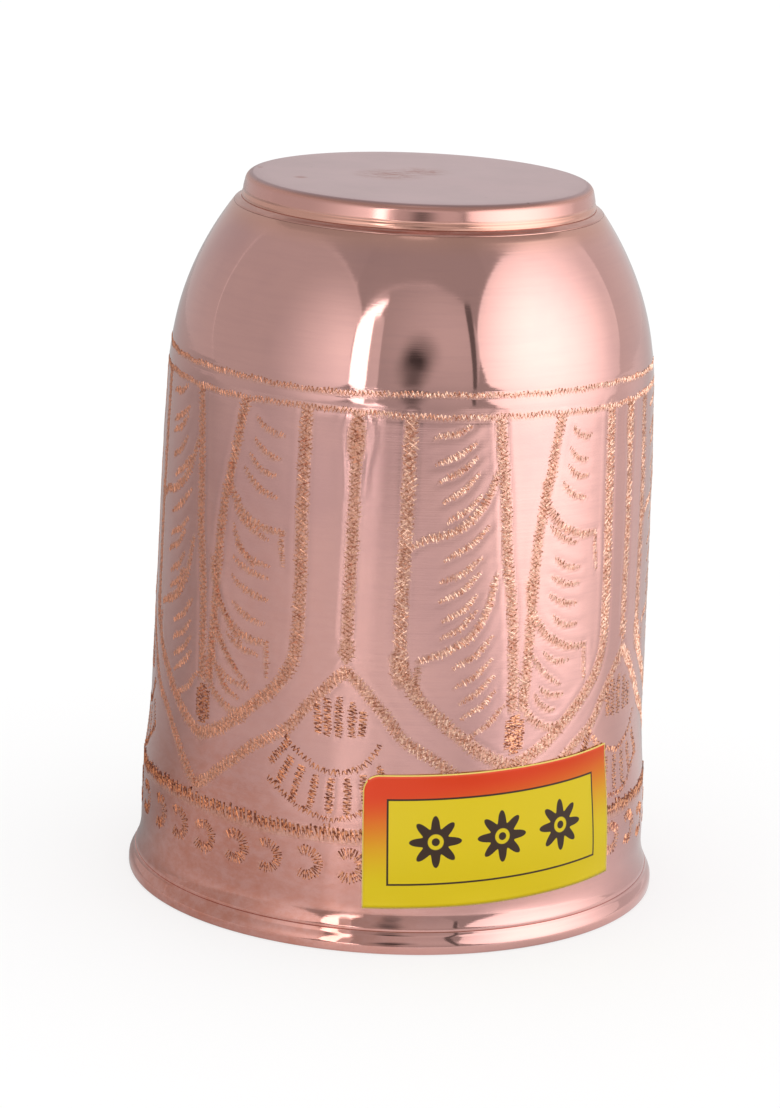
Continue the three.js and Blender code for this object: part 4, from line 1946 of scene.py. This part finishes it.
@dataclass
class Card:
    """A flat upright lamp or flag that faces the axis, with rounded corners; sizes in metres.

    Each of its spots adds to its strength round a place: how much, across, up and reach.
    """

    name: str
    azimuth: float
    distance: float
    left: float
    right: float
    low: float
    high: float
    strength: float
    corner: float = 0.02
    oval: float = 1.0
    taper: float = 1.0
    spots: tuple[tuple[float, float, float, float], ...] = ()
    cells: int = 32
    spot_core: float = 0.02
    faintest: float = 0.05

    def build(self) -> None:
        """Makes the card, which shines into the metal."""
        steps = np.linspace(0, 1, self.cells + 1)
        wide, tall = self.left + (self.right - self.left) * steps, self.low + (self.high - self.low) * steps
        spots = self.rounded(np.stack(np.meshgrid(wide, tall), axis=-1))
        middle = (self.left + self.right) / 2
        spots[..., 0] = middle + (spots[..., 0] - middle) * (self.taper + (1 - self.taper) * steps[:, None])
        across, up = spots[..., 0], spots[..., 1]
        a = math.radians(self.azimuth)
        x = math.sin(a) * self.distance + math.cos(a) * across
        y = -math.cos(a) * self.distance + math.sin(a) * across
        points = np.stack([x, y, up], axis=-1).reshape(-1, 3)
        card = new_object(self.name, points, sheet_faces(self.cells, self.cells))
        map_uv(card, "metres", spots.reshape(-1, 2))
        card.data.materials.append(self.shine())
        show_to_metal_only(card)

    def rounded(self, spots: np.ndarray) -> np.ndarray:
        """Returns places on the card with the corners drawn in.

        Args:
            spots: Places across and up, in metres.

        Returns:
            As many places.
        """
        low, high = np.array([self.left, self.low]), np.array([self.right, self.high])
        middle, reach = (low + high) / 2, np.array([self.corner * self.oval, self.corner])
        inner = (high - low) / 2 - reach
        over = (np.abs(spots - middle) - inner) / reach
        share = corner_share(over[..., 0], over[..., 1])[..., None]
        return middle + np.copysign(inner + reach * over * share, spots - middle)

    def shine(self) -> bpy.types.Material:
        """Makes the card's light."""
        sketch = ShaderSketch(self.name)
        flat = sketch.add("ShaderNodeUVMap", uv_map="metres").outputs[0]
        glow = self.strength
        for more, across, up, reach in self.spots:
            glow = sketch.scaled(sketch.near((across, up, 0), self.spot_core, reach, flat), more, glow)
        return sketch.output(sketch.glow(sketch.most(glow, self.faintest)))


@dataclass
class Studio:
    """White floor and background, soft lamps, dark surroundings in front and the camera; sizes in metres."""

    camera_place: Triple = (0.0, -0.53021, 0.18157)
    camera_target: Triple = (-0.001861, 0.0, 0.046228)
    camera_roll: float = 2.521
    lens: float = 125.8
    sensor: float = 36.0
    floor_reach: float = 3.0
    floor_paint: Triple = (0.3, 0.3, 0.3)
    floor_glow: float = 0.64
    floor_gloss: float = 0.4
    world_light: float = 1.28
    lamp_pool: Triple = (0.43, -0.23, 0.0)

    def build(self) -> None:
        """Makes the whole studio."""
        self.camera()
        self.floor()
        self.world()
        for light in (*self.screens(), *self.cards()):
            light.build()
        bpy.context.scene.view_settings.view_transform = "Standard"

    def camera(self) -> None:
        """Places the camera as the photograph was taken."""
        data = bpy.data.cameras.new("camera")
        data.lens = self.lens
        data.sensor_width = self.sensor
        made = bpy.data.objects.new("camera", data)
        bpy.context.scene.collection.objects.link(made)
        place = Vector(self.camera_place)
        ahead = (Vector(self.camera_target) - place).normalized()
        level = ahead.cross(Vector((0, 0, 1))).normalized()
        upright = level.cross(ahead)
        roll = math.radians(self.camera_roll)
        right = math.cos(roll) * level + math.sin(roll) * upright
        top = -math.sin(roll) * level + math.cos(roll) * upright
        turn = Matrix((right, top, -ahead)).transposed().to_4x4()
        made.matrix_world = Matrix.Translation(place) @ turn
        bpy.context.scene.camera = made

    def floor(self) -> None:
        """Makes the white floor, which keeps the tumbler's shadow."""
        count = 64
        floor = new_object("floor", ring(self.floor_reach, 0.0, count), [tuple(range(count))])
        sketch = ShaderSketch("floor_white")
        path = sketch.add("ShaderNodeLightPath").outputs
        paint = sketch.add("ShaderNodeBsdfDiffuse", {"Color": self.floor_paint}).outputs[0]
        sheen = sketch.add("ShaderNodeBsdfGlossy", {"Color": WHITE, "Roughness": 0.25}).outputs[0]
        mirrored = sketch.times(sketch.add("ShaderNodeFresnel", {"IOR": 1.36}).outputs[0], self.floor_gloss)
        gloss = sketch.times(path["Is Glossy Ray"], mirrored)
        face = sketch.add("ShaderNodeMixShader", {0: gloss, 1: paint, 2: sheen}).outputs[0]
        level = sketch.most(sketch.times(path["Is Camera Ray"], self.floor_glow), self.pools(sketch))
        both = sketch.add("ShaderNodeAddShader", {0: face, 1: sketch.glow(sketch.times(sketch.seen(), level))})
        floor.data.materials.append(sketch.output(both.outputs[0]))

    def pools(self, sketch: ShaderSketch) -> Socket:
        """Returns how bright the floor shows in the metal: most under the right lamp, less on the left.

        Args:
            sketch: The material's nodes.

        Returns:
            The brightness.
        """
        across, back, _ = sketch.place()
        squares = sketch.plus(sketch.math("POWER", across, 2.0), sketch.math("POWER", back, 2.0))
        far = sketch.most(sketch.math("SQRT", squares), 0.01)
        front = sketch.math("DIVIDE", sketch.times(back, -1.0), far)
        right = sketch.math("DIVIDE", across, far)
        wide = sketch.times(sketch.band(front, -0.35, 0.3), 0.26)
        narrow = sketch.times(sketch.math("POWER", sketch.most(front, 0.0), 8.0), 0.24)
        side = sketch.times(sketch.band(right, 0.5, 0.95), 0.3)
        pool = sketch.times(sketch.near(self.lamp_pool, 0.08, 0.4), 1.1)
        share = sketch.scaled(sketch.band(right, -0.2, 0.3), 0.15, 0.07)
        behind = sketch.times(sketch.band(front, -0.25, -0.75), share)
        return sketch.plus(sketch.plus(wide, narrow, behind), sketch.plus(side, pool))

    def world(self) -> None:
        """Makes the background white to the eye and in reflections, and a plain soft light otherwise."""
        world = bpy.data.worlds.new("studio")
        bpy.context.scene.world = world
        world.use_nodes = True
        world.node_tree.nodes.clear()
        sketch = NodeSketch(world.node_tree)
        level = sketch.add(
            "ShaderNodeMapRange", {"Value": sketch.seen(), "To Min": self.world_light, "To Max": 1.0}
        )
        light = sketch.add("ShaderNodeBackground", {"Color": WHITE, "Strength": level.outputs["Result"]})
        sketch.add("ShaderNodeOutputWorld", {0: light.outputs[0]})

    def screens(self) -> list[Screen]:
        """Returns the walls and the ceiling of the light tent."""
        return [
            Screen("front_screen", 6, 82, -2, 60, 1.4, 0.42),
            Screen("right_screen", 111, 128, -2, 42, 1.4, 0.74),
            Screen("left_screen", -105, 140, -2, 42, 1.4, 0.6),
            Screen("ceiling_screen", 0, 359, 42, 84, 1.45, 0.44),
        ]

    def cards(self) -> list[Card]:
        """Returns the lamps, the reflector and the flags."""
        right_spot, left_spot = (1.3, -0.06, 0.22, 0.55), (0.65, 0.45, 0.2, 0.5)
        upper = ((0.2, 0.15, 0.3, 0.35), (-0.3, 0.02, 0.23, 0.1), (-0.3, -0.01, 0.18, 0.09))
        lower = ((-0.16, -0.01, 0.11, 0.06), (-0.2, 0.0, 0.05, 0.05))
        return [
            Card("right_softbox", 72, 0.5, -0.42, 0.56, -0.01, 0.62, 0.98, 0.3, 1.2, spots=(right_spot,)),
            Card("left_softbox", -70, 0.5, -0.47, 0.5, -0.01, 0.62, 0.58, 0.3, 1.15, spots=(left_spot,)),
            Card("left_softbox_rim", -70, 0.505, -0.485, 0.515, -0.01, 0.637, 0.82, 0.31, 1.15),
            Card("front_reflector_rim", 2, 0.495, -0.297, 0.287, -0.01, 0.555, 0.85, 0.25),
            Card("front_reflector", 2, 0.49, -0.285, 0.275, -0.01, 0.54, 0.48, 0.24),
            Card("slit_light", 2, 0.486, -0.283, 0.12, 0.03, 0.458, 3.0, 0.14),
            Card("slit_cover", 2, 0.482, -0.178, 0.272, -0.01, 0.53, 0.48, 0.2, spots=(*upper, *lower)),
            Card("slit_glow", 2, 0.478, -0.195, -0.145, 0.07, 0.38, 0.8, 0.02),
            Card("side_flag", 2, 0.47, 0.223, 0.26, 0.08, 0.45, 0.16, 0.018, taper=0.45),
        ]


def main() -> None:
    """Builds every piece in order."""
    logging.basicConfig(level=logging.INFO, format="%(name)s: %(message)s")
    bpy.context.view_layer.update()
    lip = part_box("mouth_band")[1].x / MM
    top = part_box("base_cap")[1]
    profile = WallProfile(height=top.z / MM, lip_radius=lip, foot_radius=top.x / MM)
    copper = SpunCopper("spun_copper").build()
    lip_copper = SpunCopper("lip_copper", brushed=0.07, streak=0.6, lines=0.05).build()
    Studio().build()
    darkened = CutCopper(
        "dark_cut_copper", (0.84, 0.41, 0.24), (0.24, 0.075, 0.045), (0.64, 0.21, 0.09)
    ).build()
    EngravedBody(profile, copper, CutCopper().build(), darkened).build()
    LipBand(profile, lip_copper).build()
    Foot(profile, FootCopper(profile.height).build()).build()
    BrazeFillet(profile, HeatTintedBraze().build()).build()
    Sticker(profile).build()


if __name__ == "__main__":
    main()
